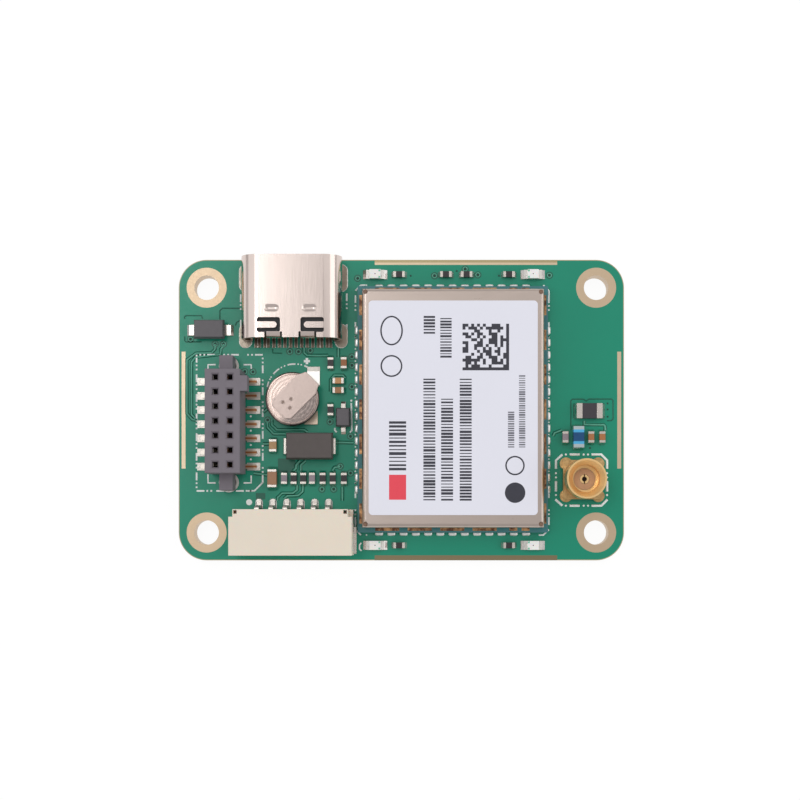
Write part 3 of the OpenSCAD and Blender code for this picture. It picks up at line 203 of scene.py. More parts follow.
class BoardSettings(bpy.types.PropertyGroup):
    """Colours and sizes of the bare board."""
    mask: colour("Mask", "Green solder mask over copper", "#008c6f")
    laminate: colour("Laminate", "Cut edge of the glass-epoxy board", "#b8a684")
    trace: colour("Trace", "Mask where it rises over a trace", "#5cae94")
    gap: colour("Gap", "Mask where the copper under it is etched away", "#03614c")
    legend: colour("Legend", "Ink of the printed outlines", "#fafffa")
    ring: colour("Ring", "Gold plating of the mounting rings", "#cbb498")
    trace_width: length("Trace width", "Width of a trace under the mask", 0.15)
    via: length("Via", "Outer diameter of a via ring", 0.46)
    via_hole: length("Via hole", "Diameter of a via's hole", 0.22)
    line: length("Line", "Width of the printed outlines", 0.15)
    dash: length("Dash", "Length of a dash in the printed outlines", 0.7)
    period: length("Period", "Distance from one dash to the next", 1.65)


class ReceiverSettings(bpy.types.PropertyGroup):
    """Colours and sizes of the shielded receiver."""
    shield: colour("Shield", "Nickel silver sheet of the shield", "#c3b4ab")
    label: colour("Label", "Printed film on the shield", "#ededf8")
    ink: colour("Ink", "Dark print on the label", "#33333f")
    accent: colour("Accent", "Coloured print on the label", "#ee4657")
    cells: bpy.props.IntProperty(
        name="Cells", description="Cells along a side of the printed matrix", default=16)
    seed: bpy.props.IntProperty(name="Seed", description="Seed of the label's made-up codes", default=7)


class ConnectorSettings(bpy.types.PropertyGroup):
    """Colours of the connectors and the cell."""
    shell: colour("Shell", "Stainless steel of the USB shell", "#dccdc6")
    socket: colour("Socket", "Nylon of the pin socket", "#777078")
    housing: colour("Housing", "Nylon of the wire connector", "#eee2d1")
    jack: colour("Jack", "Gold plating of the antenna jack", "#f8d094")
    contact: colour("Contact", "Gold flash on bronze contacts", "#d9b074")
    tin: colour("Tin", "Tin plating of leads and end caps", "#dad2ca")
    solder: colour("Solder", "Reflowed solder", "#d2cecb")
    cell: colour("Cell", "Steel of the backup cell", "#d0bcb3")


class StageSettings(bpy.types.PropertyGroup):
    """Camera, floor and light."""
    height: length("Height", "Height of the camera above the board's face", 130.0)
    lens: bpy.props.FloatProperty(
        name="Lens", description="Focal length on a 36 mm sensor", subtype="DISTANCE_CAMERA", default=65.1)
    floor: colour("Floor", "Pale floor under the board", "#f4f4f4")
    sky: bpy.props.FloatProperty(
        name="Sky", description="Strength of the even light from all round", default=0.58)
    key: lamp_power("Key", "Power of the soft lamp at the left", 0.4)
    window: lamp_power("Window", "Power of the small bright lamp high at the left", 0.38)
    fill: lamp_power("Fill", "Power of the low soft lamp at the right", 0.5)
    back: lamp_power("Back", "Power of the soft lamp at the rear", 0.25)


class PositioningBoardSettings(bpy.types.PropertyGroup):
    """All settings of the board's looks."""
    board: settings_of(BoardSettings, "Board", "Bare board")
    receiver: settings_of(ReceiverSettings, "Receiver", "Shielded receiver")
    connectors: settings_of(ConnectorSettings, "Connectors", "Connectors and cell")
    stage: settings_of(StageSettings, "Stage", "Camera, floor and light")


def add(tree, kind, inputs=None, **settings):
    """Adds a node, sets its settings, and links or sets its inputs."""
    node = tree.nodes.new(kind)
    for key, value in settings.items():
        setattr(node, key, value)
    for key, value in (inputs or {}).items():
        for one in value if isinstance(value, list) else [value]:
            if isinstance(one, bpy.types.NodeSocket):
                tree.links.new(one, node.inputs[key])
            else:
                node.inputs[key].default_value = one
    return node


def toned(code, share):
    """A linear colour made lighter or darker by a share."""
    return tuple(min(c * share, 1.0) for c in code[:3]) + (1.0,)


def blotched(tree, place, size, first, second):
    """A colour that drifts between two in patches of a size in millimetres."""
    drift = add(tree, "ShaderNodeTexNoise", {"Vector": place, "Scale": 1 / (size * MM), "Detail": 3.0})
    mixed = add(tree, "ShaderNodeMix", {0: drift.outputs["Fac"], 6: first, 7: second}, data_type="RGBA")
    return mixed.outputs[2]


def surface(name, code, roughness, metallic=0.0, tone=0.06, patch=3.0, grain=0.25, depth=0.004,
            stretch=(1, 1, 1), edge=0.0):
    """A finish with a drifting colour, a grained relief and soft edges, with its lengths in millimetres."""
    made = bpy.data.materials.new(name)
    made.use_nodes = True
    tree = made.node_tree
    shader = tree.nodes["Principled BSDF"]
    shader.inputs["Metallic"].default_value = metallic
    place = add(tree, "ShaderNodeTexCoord").outputs["Object"]
    shade = blotched(tree, place, patch, toned(code, 1 - tone), toned(code, 1 + tone))
    drawn = add(tree, "ShaderNodeMapping", {"Vector": place, "Scale": stretch}).outputs["Vector"]
    relief = add(tree, "ShaderNodeTexNoise", {"Vector": drawn, "Scale": 1 / (grain * MM), "Detail": 4.0})
    rough = add(tree, "ShaderNodeMapRange", {"Value": relief.outputs["Fac"], "To Min": roughness * 0.8,
                                             "To Max": roughness * 1.2})
    bump = add(tree, "ShaderNodeBump", {"Height": relief.outputs["Fac"], "Strength": 0.5,
                                        "Distance": depth * MM})
    if edge:
        soft = add(tree, "ShaderNodeBevel", {"Radius": edge * MM}, samples=4)
        tree.links.new(soft.outputs["Normal"], bump.inputs["Normal"])
    tree.links.new(shade, shader.inputs["Base Color"])
    tree.links.new(rough.outputs["Result"], shader.inputs["Roughness"])
    tree.links.new(bump.outputs["Normal"], shader.inputs["Normal"])
    return Finish(made, tree, shader, place)


def cover(finish, share, code, how="MIX"):
    """Lays another colour over a finish, as far as a share says."""
    base = finish.shader.inputs["Base Color"]
    laid = add(finish.tree, "ShaderNodeMix", {0: share, 6: base.links[0].from_socket, 7: code},
               data_type="RGBA", blend_type=how)
    finish.tree.links.new(laid.outputs[2], base)


def fade(finish, value, start, end, code):
    """Lays another colour over a finish, from nothing at a value's start to all of it at the end."""
    share = add(finish.tree, "ShaderNodeMapRange", {"Value": value, "From Min": start, "From Max": end})
    cover(finish, share.outputs["Result"], code)


def dress(finish, *names):
    """Gives CAD nodes a finish."""
    for name in names:
        NODES[name].data.materials.clear()
        NODES[name].data.materials.append(finish.material)


def span(name):
    """Lowest and highest corners of a CAD node, in millimetres."""
    return [[c / MM for c in corner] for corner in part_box(name)]


def settle(name, slot, mesh, *replaced):
    """Makes a finished mesh a piece that rides on the board."""
    piece = bpy.data.objects.new(name, mesh)
    bpy.context.scene.collection.objects.link(piece)
    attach(piece, "root")
    if replaced:
        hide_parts(*replaced)


def points(places, z):
    """A mesh of single points."""
    mesh = bpy.data.meshes.new("points")
    mesh.from_pydata([(x * MM, y * MM, z * MM) for x, y in places], [], [])
    return mesh


def paths(lines, z, closed=False):
    """A mesh of polylines."""
    verts, edges = [], []
    for line in lines:
        first = len(verts)
        verts += [(x * MM, y * MM, z * MM) for x, y in line]
        edges += [(first + i, first + i + 1) for i in range(len(line) - 1)]
        if closed:
            edges.append((len(verts) - 1, first))
    mesh = bpy.data.meshes.new("paths")
    mesh.from_pydata(verts, edges, [])
    return mesh


def plates(name, slot, outlines, z, thickness, finish):
    """A piece of thin flat shapes with the given outlines, drawn anticlockwise."""
    verts, faces = [], []
    for outline in outlines:
        first, n = len(verts), len(outline)
        verts += [(x * MM, y * MM, z * MM) for x, y in outline]
        verts += [(x * MM, y * MM, (z + thickness) * MM) for x, y in outline]
        faces.append([first + i for i in reversed(range(n))])
        faces.append([first + n + i for i in range(n)])
        faces += [(first + i, first + (i + 1) % n, first + n + (i + 1) % n, first + n + i) for i in range(n)]
    mesh = bpy.data.meshes.new(name)
    mesh.from_pydata(verts, [], faces)
    mesh.materials.append(finish.material)
    settle(name, slot, mesh)


def rounded(x0, y0, x1, y1, r, steps=6):
    """Outline of a rectangle with round corners."""
    corners = [(x1 - r, y1 - r, 0), (x0 + r, y1 - r, 90), (x0 + r, y0 + r, 180), (x1 - r, y0 + r, 270)]
    turns = [(x, y, math.radians(a + 90 * i / steps)) for x, y, a in corners for i in range(steps + 1)]
    return [(x + r * math.cos(t), y + r * math.sin(t)) for x, y, t in turns]


def ring_line(x, y, rx, ry, start=0, end=360, steps=40):
    """Points along an ellipse or an arc of it."""
    span = range(steps if end - start >= 360 else steps + 1)
    turns = [math.radians(start + (end - start) * i / steps) for i in span]
    return [(x + rx * math.cos(t), y + ry * math.sin(t)) for t in turns]


def disc(x, y, r, steps=40):
    """Outline of a circle."""
    return ring_line(x, y, r, r, steps=steps)


def shape_tree(name, *inputs):
    """A geometry tree with its named inputs, as the tree and its input sockets."""
    tree = bpy.data.node_groups.new(name, "GeometryNodeTree")
    tree.interface.new_socket("Geometry", in_out="OUTPUT", socket_type="NodeSocketGeometry")
    for label, kind in (("Geometry", "Geometry"),) + inputs:
        tree.interface.new_socket(label, in_out="INPUT", socket_type="NodeSocket" + kind)
    return tree, add(tree, "NodeGroupInput").outputs


def painted(tree, shape, material):
    """A geometry tree's shape, with its instances made real and its material set."""
    whole = add(tree, "GeometryNodeRealizeInstances", {"Geometry": shape.outputs[0]})
    coat = add(tree, "GeometryNodeSetMaterial", {"Geometry": whole.outputs[0], "Material": material})
    return coat.outputs[0]


def ended(tree, shape, material):
    """Ends a geometry tree with one shape and its material."""
    add(tree, "NodeGroupOutput", {"Geometry": painted(tree, shape, material)})
    return tree


def stops_along(tree, given, spacing):
    """Points along each path at a spacing, and the rotation that turns X along the path."""
    curve = add(tree, "GeometryNodeMeshToCurve", {"Mesh": given["Geometry"]})
    stops = add(tree, "GeometryNodeResampleCurve", {"Curve": curve.outputs[0], "Length": given[spacing]},
                mode="LENGTH")
    tangent = add(tree, "GeometryNodeInputTangent")
    along = add(tree, "FunctionNodeAlignRotationToVector", {"Vector": tangent.outputs[0]}, axis="X")
    return stops.outputs[0], along.outputs[0]


def strip_tree():
    """Flat strip along each path."""
    tree, given = shape_tree("strip_along_path", ("Width", "Float"), ("Height", "Float"),
                             ("Material", "Material"))
    curve = add(tree, "GeometryNodeMeshToCurve", {"Mesh": given["Geometry"]})
    level = add(tree, "GeometryNodeSetCurveNormal", {"Curve": curve.outputs[0]}, mode="Z_UP")
    section = add(tree, "GeometryNodeCurvePrimitiveQuadrilateral",
                  {"Width": given["Width"], "Height": given["Height"]})
    swept = add(tree, "GeometryNodeCurveToMesh",
                {"Curve": level.outputs[0], "Profile Curve": section.outputs[0], "Fill Caps": True})
    return ended(tree, swept, given["Material"])


def bead_tree():
    """Round bead along each path."""
    tree, given = shape_tree("bead_along_path", ("Radius", "Float"), ("Material", "Material"))
    curve = add(tree, "GeometryNodeMeshToCurve", {"Mesh": given["Geometry"]})
    section = add(tree, "GeometryNodeCurvePrimitiveCircle", {"Resolution": 8, "Radius": given["Radius"]})
    swept = add(tree, "GeometryNodeCurveToMesh",
                {"Curve": curve.outputs[0], "Profile Curve": section.outputs[0], "Fill Caps": True})
    return ended(tree, swept, given["Material"])


def dash_tree():
    """A dash and two dots, again and again along each path."""
    tree, given = shape_tree("dashes_along_path", ("Period", "Float"), ("Dash", "Float"), ("Width", "Float"),
                             ("Height", "Float"), ("Material", "Material"))
    stops, along = stops_along(tree, given, "Period")
    marks = []
    for run, base, share in (("Dash", "Dash", 0.5), ("Width", "Period", 0.58), ("Width", "Period", 0.8)):
        size = add(tree, "ShaderNodeCombineXYZ", {"X": given[run], "Y": given["Width"], "Z": given["Height"]})
        block = add(tree, "GeometryNodeMeshCube", {"Size": size.outputs[0]})
        ahead = add(tree, "ShaderNodeMath", {0: given[base], 1: share}, operation="MULTIPLY")
        shift = add(tree, "ShaderNodeCombineXYZ", {"X": ahead.outputs[0]})
        moved = add(tree, "GeometryNodeTransform",
                    {"Geometry": block.outputs[0], "Translation": shift.outputs[0]})
        marks.append(moved.outputs[0])
    joined = add(tree, "GeometryNodeJoinGeometry", {"Geometry": marks})
    laid = add(tree, "GeometryNodeInstanceOnPoints",
               {"Points": stops, "Instance": joined.outputs[0], "Rotation": along})
    return ended(tree, laid, given["Material"])


def via_tree():
    """A raised ring round a flat disc at each point."""
    tree, given = shape_tree("via_at_point", ("Radius", "Float"), ("Bead", "Float"), ("Hole", "Float"),
                             ("Ring material", "Material"), ("Hole material", "Material"))
    round_line = add(tree, "GeometryNodeCurvePrimitiveCircle", {"Resolution": 20, "Radius": given["Radius"]})
    bead = add(tree, "GeometryNodeCurvePrimitiveCircle", {"Resolution": 8, "Radius": given["Bead"]})
    ring = add(tree, "GeometryNodeCurveToMesh",
               {"Curve": round_line.outputs[0], "Profile Curve": bead.outputs[0]})
    flat = add(tree, "GeometryNodeMeshCylinder",
               {"Vertices": 16, "Radius": given["Hole"], "Depth": 0.02 * MM})
    shapes = []
    for shape, material in ((ring, "Ring material"), (flat, "Hole material")):
        laid = add(tree, "GeometryNodeInstanceOnPoints",
                   {"Points": given["Geometry"], "Instance": shape.outputs[0]})
        shapes.append(painted(tree, laid, given[material]))
    joined = add(tree, "GeometryNodeJoinGeometry", {"Geometry": shapes})
    add(tree, "NodeGroupOutput", {"Geometry": joined.outputs[0]})
    return tree


def repeat_tree():
    """One model copied to each point, turned by the point's own turn."""
    tree, given = shape_tree("model_at_point", ("Model", "Object"), ("Material", "Material"))
    model = add(tree, "GeometryNodeObjectInfo", {"Object": given["Model"]})
    turn = add(tree, "GeometryNodeInputNamedAttribute", {"Name": "turn"}, data_type="FLOAT")
    about = add(tree, "ShaderNodeCombineXYZ", {"Z": turn.outputs[0]})
    facing = add(tree, "FunctionNodeEulerToRotation", {"Euler": about.outputs[0]})
    laid = add(tree, "GeometryNodeInstanceOnPoints",
               {"Points": given["Geometry"], "Instance": model.outputs["Geometry"],
                "Rotation": facing.outputs[0]})
    return ended(tree, laid, given["Material"])


def bars_tree():
    """A row of bars of seeded widths along each path."""
    tree, given = shape_tree("bars_along_path", ("Pitch", "Float"), ("Width", "Float"), ("Height", "Float"),
                             ("Seed", "Int"), ("Material", "Material"))
    stops, along = stops_along(tree, given, "Pitch")
    size = add(tree, "ShaderNodeCombineXYZ", {"X": given["Pitch"], "Y": given["Width"], "Z": given["Height"]})
    bar = add(tree, "GeometryNodeMeshCube", {"Size": size.outputs[0]})
    share = add(tree, "FunctionNodeRandomValue", {2: 0.25, 3: 0.85, "Seed": given["Seed"]}, data_type="FLOAT")
    scale = add(tree, "ShaderNodeCombineXYZ", {"X": share.outputs[1], "Y": 1.0, "Z": 1.0})
    laid = add(tree, "GeometryNodeInstanceOnPoints",
               {"Points": stops, "Instance": bar.outputs[0], "Rotation": along, "Scale": scale.outputs[0]})
    return ended(tree, laid, given["Material"])


def matrix_tree():
    """A square of cells, about half of them inked by a seed."""
    tree, given = shape_tree("inked_cells", ("Cell", "Float"), ("Height", "Float"), ("Seed", "Int"),
                             ("Material", "Material"))
    size = add(tree, "ShaderNodeCombineXYZ", {"X": given["Cell"], "Y": given["Cell"], "Z": given["Height"]})
    block = add(tree, "GeometryNodeMeshCube", {"Size": size.outputs[0]})
    inked = add(tree, "FunctionNodeRandomValue", {"Probability": 0.52, "Seed": given["Seed"]},
                data_type="BOOLEAN")
    laid = add(tree, "GeometryNodeInstanceOnPoints",
               {"Points": given["Geometry"], "Selection": inked.outputs[3], "Instance": block.outputs[0]})
    return ended(tree, laid, given["Material"])


def grow(name, mesh, tree, **values):
    """Runs a geometry tree on a mesh and returns the result as a plain mesh."""
    holder = bpy.data.objects.new(name, mesh)
    bpy.context.scene.collection.objects.link(holder)
    modifier = holder.modifiers.new(tree.name, "NODES")
    modifier.node_group = tree
    for item in tree.interface.items_tree:
        value = values.get(item.name.replace(" ", "_").lower())
        if item.in_out == "INPUT" and value is not None:
            modifier[item.identifier] = value.material if isinstance(value, Finish) else value
    ready = holder.evaluated_get(bpy.context.evaluated_depsgraph_get())
    made = bpy.data.meshes.new_from_object(ready)
    bpy.data.objects.remove(holder)
    bpy.data.meshes.remove(mesh)
    made.name = name
    if not made.polygons:
        raise RuntimeError(f"{name} came out empty")
    return made


def lay(name, slot, mesh, tree, **values):
    """Makes a piece by running a geometry tree on a mesh."""
    settle(name, slot, grow(name, mesh, tree, **values))


class BOARD_OT_mask(bpy.types.Operator):
    """Finishes the board's mask, cut edge and bare plating"""
    bl_idname = "positioning_board.mask"
    bl_label = "Board mask and plating"

    def execute(self, context):
        look = context.scene.positioning_board.board
        half_x, half_y = NODES["board"].dimensions.x / 2, NODES["board"].dimensions.y / 2
        # Glossy ink over copper: the pour shows as faint patches, and the saw leaves a bare rim
        mask = surface("green_solder_mask", look.mask, 0.32, tone=0.07, patch=6.0, grain=0.5, depth=0.003)
        mask.shader.inputs["Specular IOR Level"].default_value = 0.45
        tree = mask.tree
        corner = 2.5 * MM
        inner = (half_x - corner, half_y - corner, 1.0)
        folded = add(tree, "ShaderNodeVectorMath", {0: mask.place}, operation="ABSOLUTE")
        past = add(tree, "ShaderNodeVectorMath", {0: folded.outputs[0], 1: inner}, operation="SUBTRACT")
        clipped = add(tree, "ShaderNodeVectorMath", {0: past.outputs[0], 1: (0, 0, 0)}, operation="MAXIMUM")
        reach = add(tree, "ShaderNodeVectorMath", {0: clipped.outputs[0]}, operation="LENGTH")
        weave = add(tree, "ShaderNodeTexWave",
                    {"Vector": mask.place, "Scale": 1 / (0.6 * MM), "Distortion": 2.0}, bands_direction="Z")
        laminate = add(tree, "ShaderNodeMix", {0: weave.outputs["Fac"], 6: toned(look.laminate, 0.85),
                                               7: toned(look.laminate, 1.1)}, data_type="RGBA")
        fade(mask, reach.outputs["Value"], corner - 0.09 * MM, corner - 0.04 * MM, laminate.outputs[2])
        dress(mask, "board")
        # Immersion gold on copper: soft sheen with faint brush marks
        dress(surface("immersion_gold_ring", look.ring, 0.4, 1.0, tone=0.05, patch=2.0, grain=0.12),
              "mounting_hole_plating")
        # Bare gold strips: duller where the panel's saw ran, along the top's outer half and the bottom
        strip = surface("scuffed_gold_strip", linear("#d3bfa3"), 0.4, 1.0, tone=0.08, patch=1.2, grain=0.15)
        apart = add(strip.tree, "ShaderNodeSeparateXYZ", {"Vector": strip.place})
        fade(strip, apart.outputs["Y"], half_y - 0.26 * MM, half_y - 0.22 * MM, linear("#afa07b"))
        fade(strip, apart.outputs["Y"], -half_y + 0.6 * MM, -half_y + 0.5 * MM, linear("#887c61"))
        dress(strip, "edge_strips")
        return {"FINISHED"}


class BOARD_OT_traces(bpy.types.Operator):
    """Lays the traces, the copper gaps and the via rings under the mask"""
    bl_idname = "positioning_board.traces"
    bl_label = "Traces and vias"

    def execute(self, context):
        look = context.scene.positioning_board.board
        # Mask over a trace: lighter, because the ink is thin on the copper's shoulders
        raised = surface("mask_over_trace", look.trace, 0.3, tone=0.05, patch=2.0)
        # Mask where no copper lies under it: darker and a little sunk
        etched = surface("mask_over_bare_board", look.gap, 0.35, tone=0.05, patch=2.0)
        # Shade in a via's hole
        hole = surface("shaded_via_hole", linear("#123c31"), 0.6, tone=0.1, patch=0.3)
        strip = strip_tree()
        lay("trace_edges", "green_mask", paths(TRACES, BOARD_TOP), strip, width=look.trace_width + 0.18 * MM,
            height=0.012 * MM, material=etched)
        lay("copper_traces", "green_mask", paths(TRACES, BOARD_TOP), strip, width=look.trace_width,
            height=0.03 * MM, material=raised)
        lay("copper_gaps", "green_mask", paths(COPPER_GAPS, BOARD_TOP), strip, width=0.12 * MM,
            height=0.016 * MM, material=etched)
        plates("bare_patches", "green_mask", BARE_PATCHES, BOARD_TOP, 0.004, etched)
        clearance = 0.33
        clear = [disc(x, y, clearance, 20) for x, y in VIAS]
        plates("via_clearances", "green_mask", clear, BOARD_TOP, 0.008, etched)
        bead = 0.045 * MM
        tree = via_tree()
        lay("via_rings", "green_mask", points(VIAS, BOARD_TOP), tree, radius=look.via / 2 - bead, bead=bead,
            hole=look.via_hole / 2, ring_material=raised, hole_material=hole)
        tent = look.via_hole / 3
        lay("tented_vias", "green_mask", points(TENTED_VIAS, BOARD_TOP), tree, radius=tent, bead=bead / 2,
            hole=tent, ring_material=etched, hole_material=hole)
        return {"FINISHED"}


def framed(box, chamfers, period):
    """Sides of a printed frame for dashes, and its chamfered corners for solid lines."""
    x0, y0, x1, y1 = box
    sides, corners = [], []
    round_trip = [(x0, y0), (x1, y0), (x1, y1), (x0, y1)]
    for i in range(4):
        a, b = round_trip[i], round_trip[(i + 1) % 4]
        cut_a, cut_b = chamfers[i], chamfers[(i + 1) % 4]
        run = math.dist(a, b)
        ux, uy = (b[0] - a[0]) / run, (b[1] - a[1]) / run
        sides.append([(a[0] + ux * cut_a, a[1] + uy * cut_a),
                      (b[0] - ux * (cut_b + period), b[1] - uy * (cut_b + period))])
        if cut_b:
            c = round_trip[(i + 2) % 4]
            away = math.dist(b, c)
            vx, vy = (c[0] - b[0]) / away, (c[1] - b[1]) / away
            tail = cut_b * 0.8
            corners.append([(b[0] - ux * (cut_b + tail), b[1] - uy * (cut_b + tail)),
                            (b[0] - ux * cut_b, b[1] - uy * cut_b), (b[0] + vx * cut_b, b[1] + vy * cut_b)])
    return sides, corners


class BOARD_OT_legend(bpy.types.Operator):
    """Prints the white outlines and marks on the mask"""
    bl_idname = "positioning_board.legend"
    bl_label = "Printed outlines"

    def execute(self, context):
        look = context.scene.positioning_board.board
        period, line = look.period / MM, look.line / MM
        # Screen-printed epoxy ink: matt, slightly uneven at its edges
        ink = surface("legend_ink", look.legend, 0.6, tone=0.1, patch=0.4, grain=0.1)
        thick = 0.024 * MM
        x0, y0, x1, y1 = RECEIVER_FRAME
        corner_end, side_end = 0.9, 7.9
        _, corners = framed(RECEIVER_FRAME, (0.5, 0.5, 0.5, 0.5), period)
        sides = [[(x, s * y1 - s * corner_end), (x, s * side_end)] for x in (x0, x1) for s in (-1, 1)]
        more_sides, more_corners = framed(SOCKET_FRAME, (0, 0.75, 0, 0), period)
        lay("legend_dashes", "label_film", paths(sides + more_sides + USB_SIDES, BOARD_TOP), dash_tree(),
            period=look.period, dash=look.dash, width=look.line, height=thick, material=ink)
        strip = strip_tree()
        lay("legend_jack_lines", "label_film", paths(JACK_LINES, BOARD_TOP), strip, width=0.21 * MM,
            height=thick, material=ink)
        x, y, r = ARC
        arcs = [ring_line(x, y, r, r, start, end, 8) for start, end in ARC_DASHES]
        lay("legend_lines", "label_film", paths(corners + more_corners + arcs + STROKES, BOARD_TOP), strip,
            width=look.line, height=thick, material=ink)
        arm, half = 0.28, line * 0.75
        plus = [(arm, -half), (arm, half), (half, half), (half, arm), (-half, arm), (-half, half),
                (-arm, half), (-arm, -half), (-half, -half), (-half, -arm), (half, -arm), (half, -half)]
        small, middle = 0.075, (x0 + x1) / 2
        between = [(middle + (i - 6) * RECEIVER_PITCH, side) for i in range(-1, 13) for side in (y0, y1)]
        between += [(side, (i - 6) * RECEIVER_PITCH) for i in range(13) for side in (x0, x1)]
        turns = [math.radians(turn) for turn in ARC_DOTS]
        shapes = [[(px + PLUS[0], py + PLUS[1]) for px, py in plus]]
        shapes += [disc(*dot) for dot in DOTS]
        shapes += [disc(px, py, small, 8) for px, py in between]
        shapes += [disc(px, py, 0.095, 10) for px, py in JACK_DOTS]
        shapes += [disc(x + r * math.cos(t), y + r * math.sin(t), small, 8) for t in turns]
        plates("legend_marks", "label_film", shapes, BOARD_TOP, 0.012, ink)
        return {"FINISHED"}


class BOARD_OT_receiver(bpy.types.Operator):
    """Finishes the receiver's board, shield and solder joints"""
    bl_idname = "positioning_board.receiver"
    bl_label = "Shielded receiver"

    def execute(self, context):
        look = context.scene.positioning_board.receiver
        # Darker, bluer mask on the receiver's own board
        dress(surface("teal_solder_mask", linear("#38797d"), 0.35, tone=0.1, patch=1.5), "module_board")
        # Bare copper smeared with solder and flux, in blotches of gold and dark brown: the brown is also
        # painted shade under the shield's edge, the gold painted highlights
        copper = surface("bare_copper_pad", linear("#5f4236"), 0.3, 1.0, tone=0.0)
        blotch = add(copper.tree, "ShaderNodeTexNoise",
                     {"Vector": copper.place, "Scale": 1 / (0.45 * MM), "Detail": 2.0})
        # Painted shade and highlights: dark brown pads with gold blotches
        fade(copper, blotch.outputs["Fac"], 0.38, 0.66, linear("#c8996c"))
        dress(copper, "module_shield_pads")
        # Drawn nickel silver: fine lines along the sheet, drawn coarser than real so that they show
        dress(surface("nickel_silver_sheet", look.shield, 0.3, 1.0, tone=0.05, patch=4.0, grain=0.09,
                      depth=0.003, stretch=(0.06, 1, 1), edge=0.12), "module_shield")
        # Painted shade in the relief holes at the shield's corners: a brown disc sunk in each
        hole_shade = surface("flux_residue", linear("#7d5f4c"), 0.4, tone=0.2, patch=0.2)
        (x0, y0, _), (x1, y1, roof) = span("module_shield")
        inset, sunk = 0.3, 0.14
        spots = [disc(x, y, 0.19, 16) for x in (x0 + inset, x1 - inset) for y in (y0 + inset, y1 - inset)]
        # Painted shade: brown discs just under the shield's top, in its corner holes
        plates("shield_corner_flux", "shield_steel", spots, roof - sunk, 0.06, hole_shade)
        # Hidden chips: matt black moulding, a gilt lid and grey ceramic
        dress(surface("chip_epoxy", linear("#2a2a2e"), 0.55, tone=0.1, patch=1.0, grain=0.06),
              "receiver_chip", "memory_chip")
        dress(surface("gilt_crystal_lid", linear("#d8c79a"), 0.3, 1.0), "oscillator")
        dress(surface("filter_ceramic", linear("#9a9aa2"), 0.5), "rf_filters")
        # Reflowed solder: bright and slightly rippled
        solder = surface("reflowed_joint", linear("#efedea"), 0.3, 0.6, tone=0.05, patch=0.5, grain=0.2,
                         depth=0.006)
        (x0, y0, _), (x1, y1, _) = span("module_board")
        middle, half_w, half_d = (x0 + x1) / 2, (x1 - x0) / 2, (y1 - y0) / 2
        places, turns = [], []
        for count, along_x in ((13, True), (14, False)):
            for i in range(count):
                step = (i - (count - 1) / 2) * RECEIVER_PITCH
                for side in (-1, 1):
                    if along_x:
                        places.append((middle + step, side * half_d))
                    else:
                        places.append((middle + side * half_w, step))
                    turns.append(math.radians(90 * side if along_x else 90 - 90 * side))
        source = points(places, BOARD_TOP)
        source.attributes.new("turn", "FLOAT", "POINT").data.foreach_set("value", turns)
        model = self.joint()
        joints = grow("receiver_joints", source, repeat_tree(), model=model, material=solder)
        bpy.data.objects.remove(model)
        for polygon in joints.polygons:
            polygon.use_smooth = True
        settle("receiver_joints", "solder", joints, "module_solder")
        return {"FINISHED"}

    def joint(self):
        """A rounded solder joint at the edge of the receiver's board, with a thin layer under that board."""
        columns, rows = 9, 6
        start, reach, rise, lip, half = 0.004, 0.3, 0.2, 0.05, 0.37
        verts, faces = [], []
        for level in (1, 0):
            for i in range(columns):
                u = 2 * i / (columns - 1) - 1
                out, top = reach * (1 - 0.3 * u ** 6), rise * (1 - 0.5 * u ** 6)
                for j in range(rows):
                    v = j / (rows - 1)
                    z = lip + (top - lip) * math.sqrt(1 - v ** 3)
                    verts.append(((start + v * out) * MM, half * u * MM, level * z * MM))
        n = columns * rows
        for i in range(columns - 1):
            for j in range(rows - 1):
                a = i * rows + j
                faces.append((a, a + 1, a + rows + 1, a + rows))
                faces.append((n + a, n + a + rows, n + a + rows + 1, n + a + 1))
        rim = [i * rows for i in range(columns)] + [(columns - 1) * rows + j for j in range(1, rows)]
        rim += [i * rows + rows - 1 for i in reversed(range(columns - 1))]
        rim += list(reversed(range(1, rows - 1)))
        for a, b in zip(rim, rim[1:] + rim[:1]):
            faces.append((a, b, n + b, n + a))
        first = len(verts)
        under, layer, side = 0.8, 0.078, 0.35
        sheet = ((-under, -side), (0, -side), (0, side), (-under, side))
        for z in (0, layer):
            verts += [(x * MM, y * MM, z * MM) for x, y in sheet]
        box = ((3, 2, 1, 0), (4, 5, 6, 7), (0, 1, 5, 4), (1, 2, 6, 5), (2, 3, 7, 6), (3, 0, 4, 7))
        faces += [[first + i for i in face] for face in box]
        mesh = bpy.data.meshes.new("joint_model")
        mesh.from_pydata(verts, [], faces)
        model = bpy.data.objects.new("joint_model", mesh)
        bpy.context.scene.collection.objects.link(model)
        return model


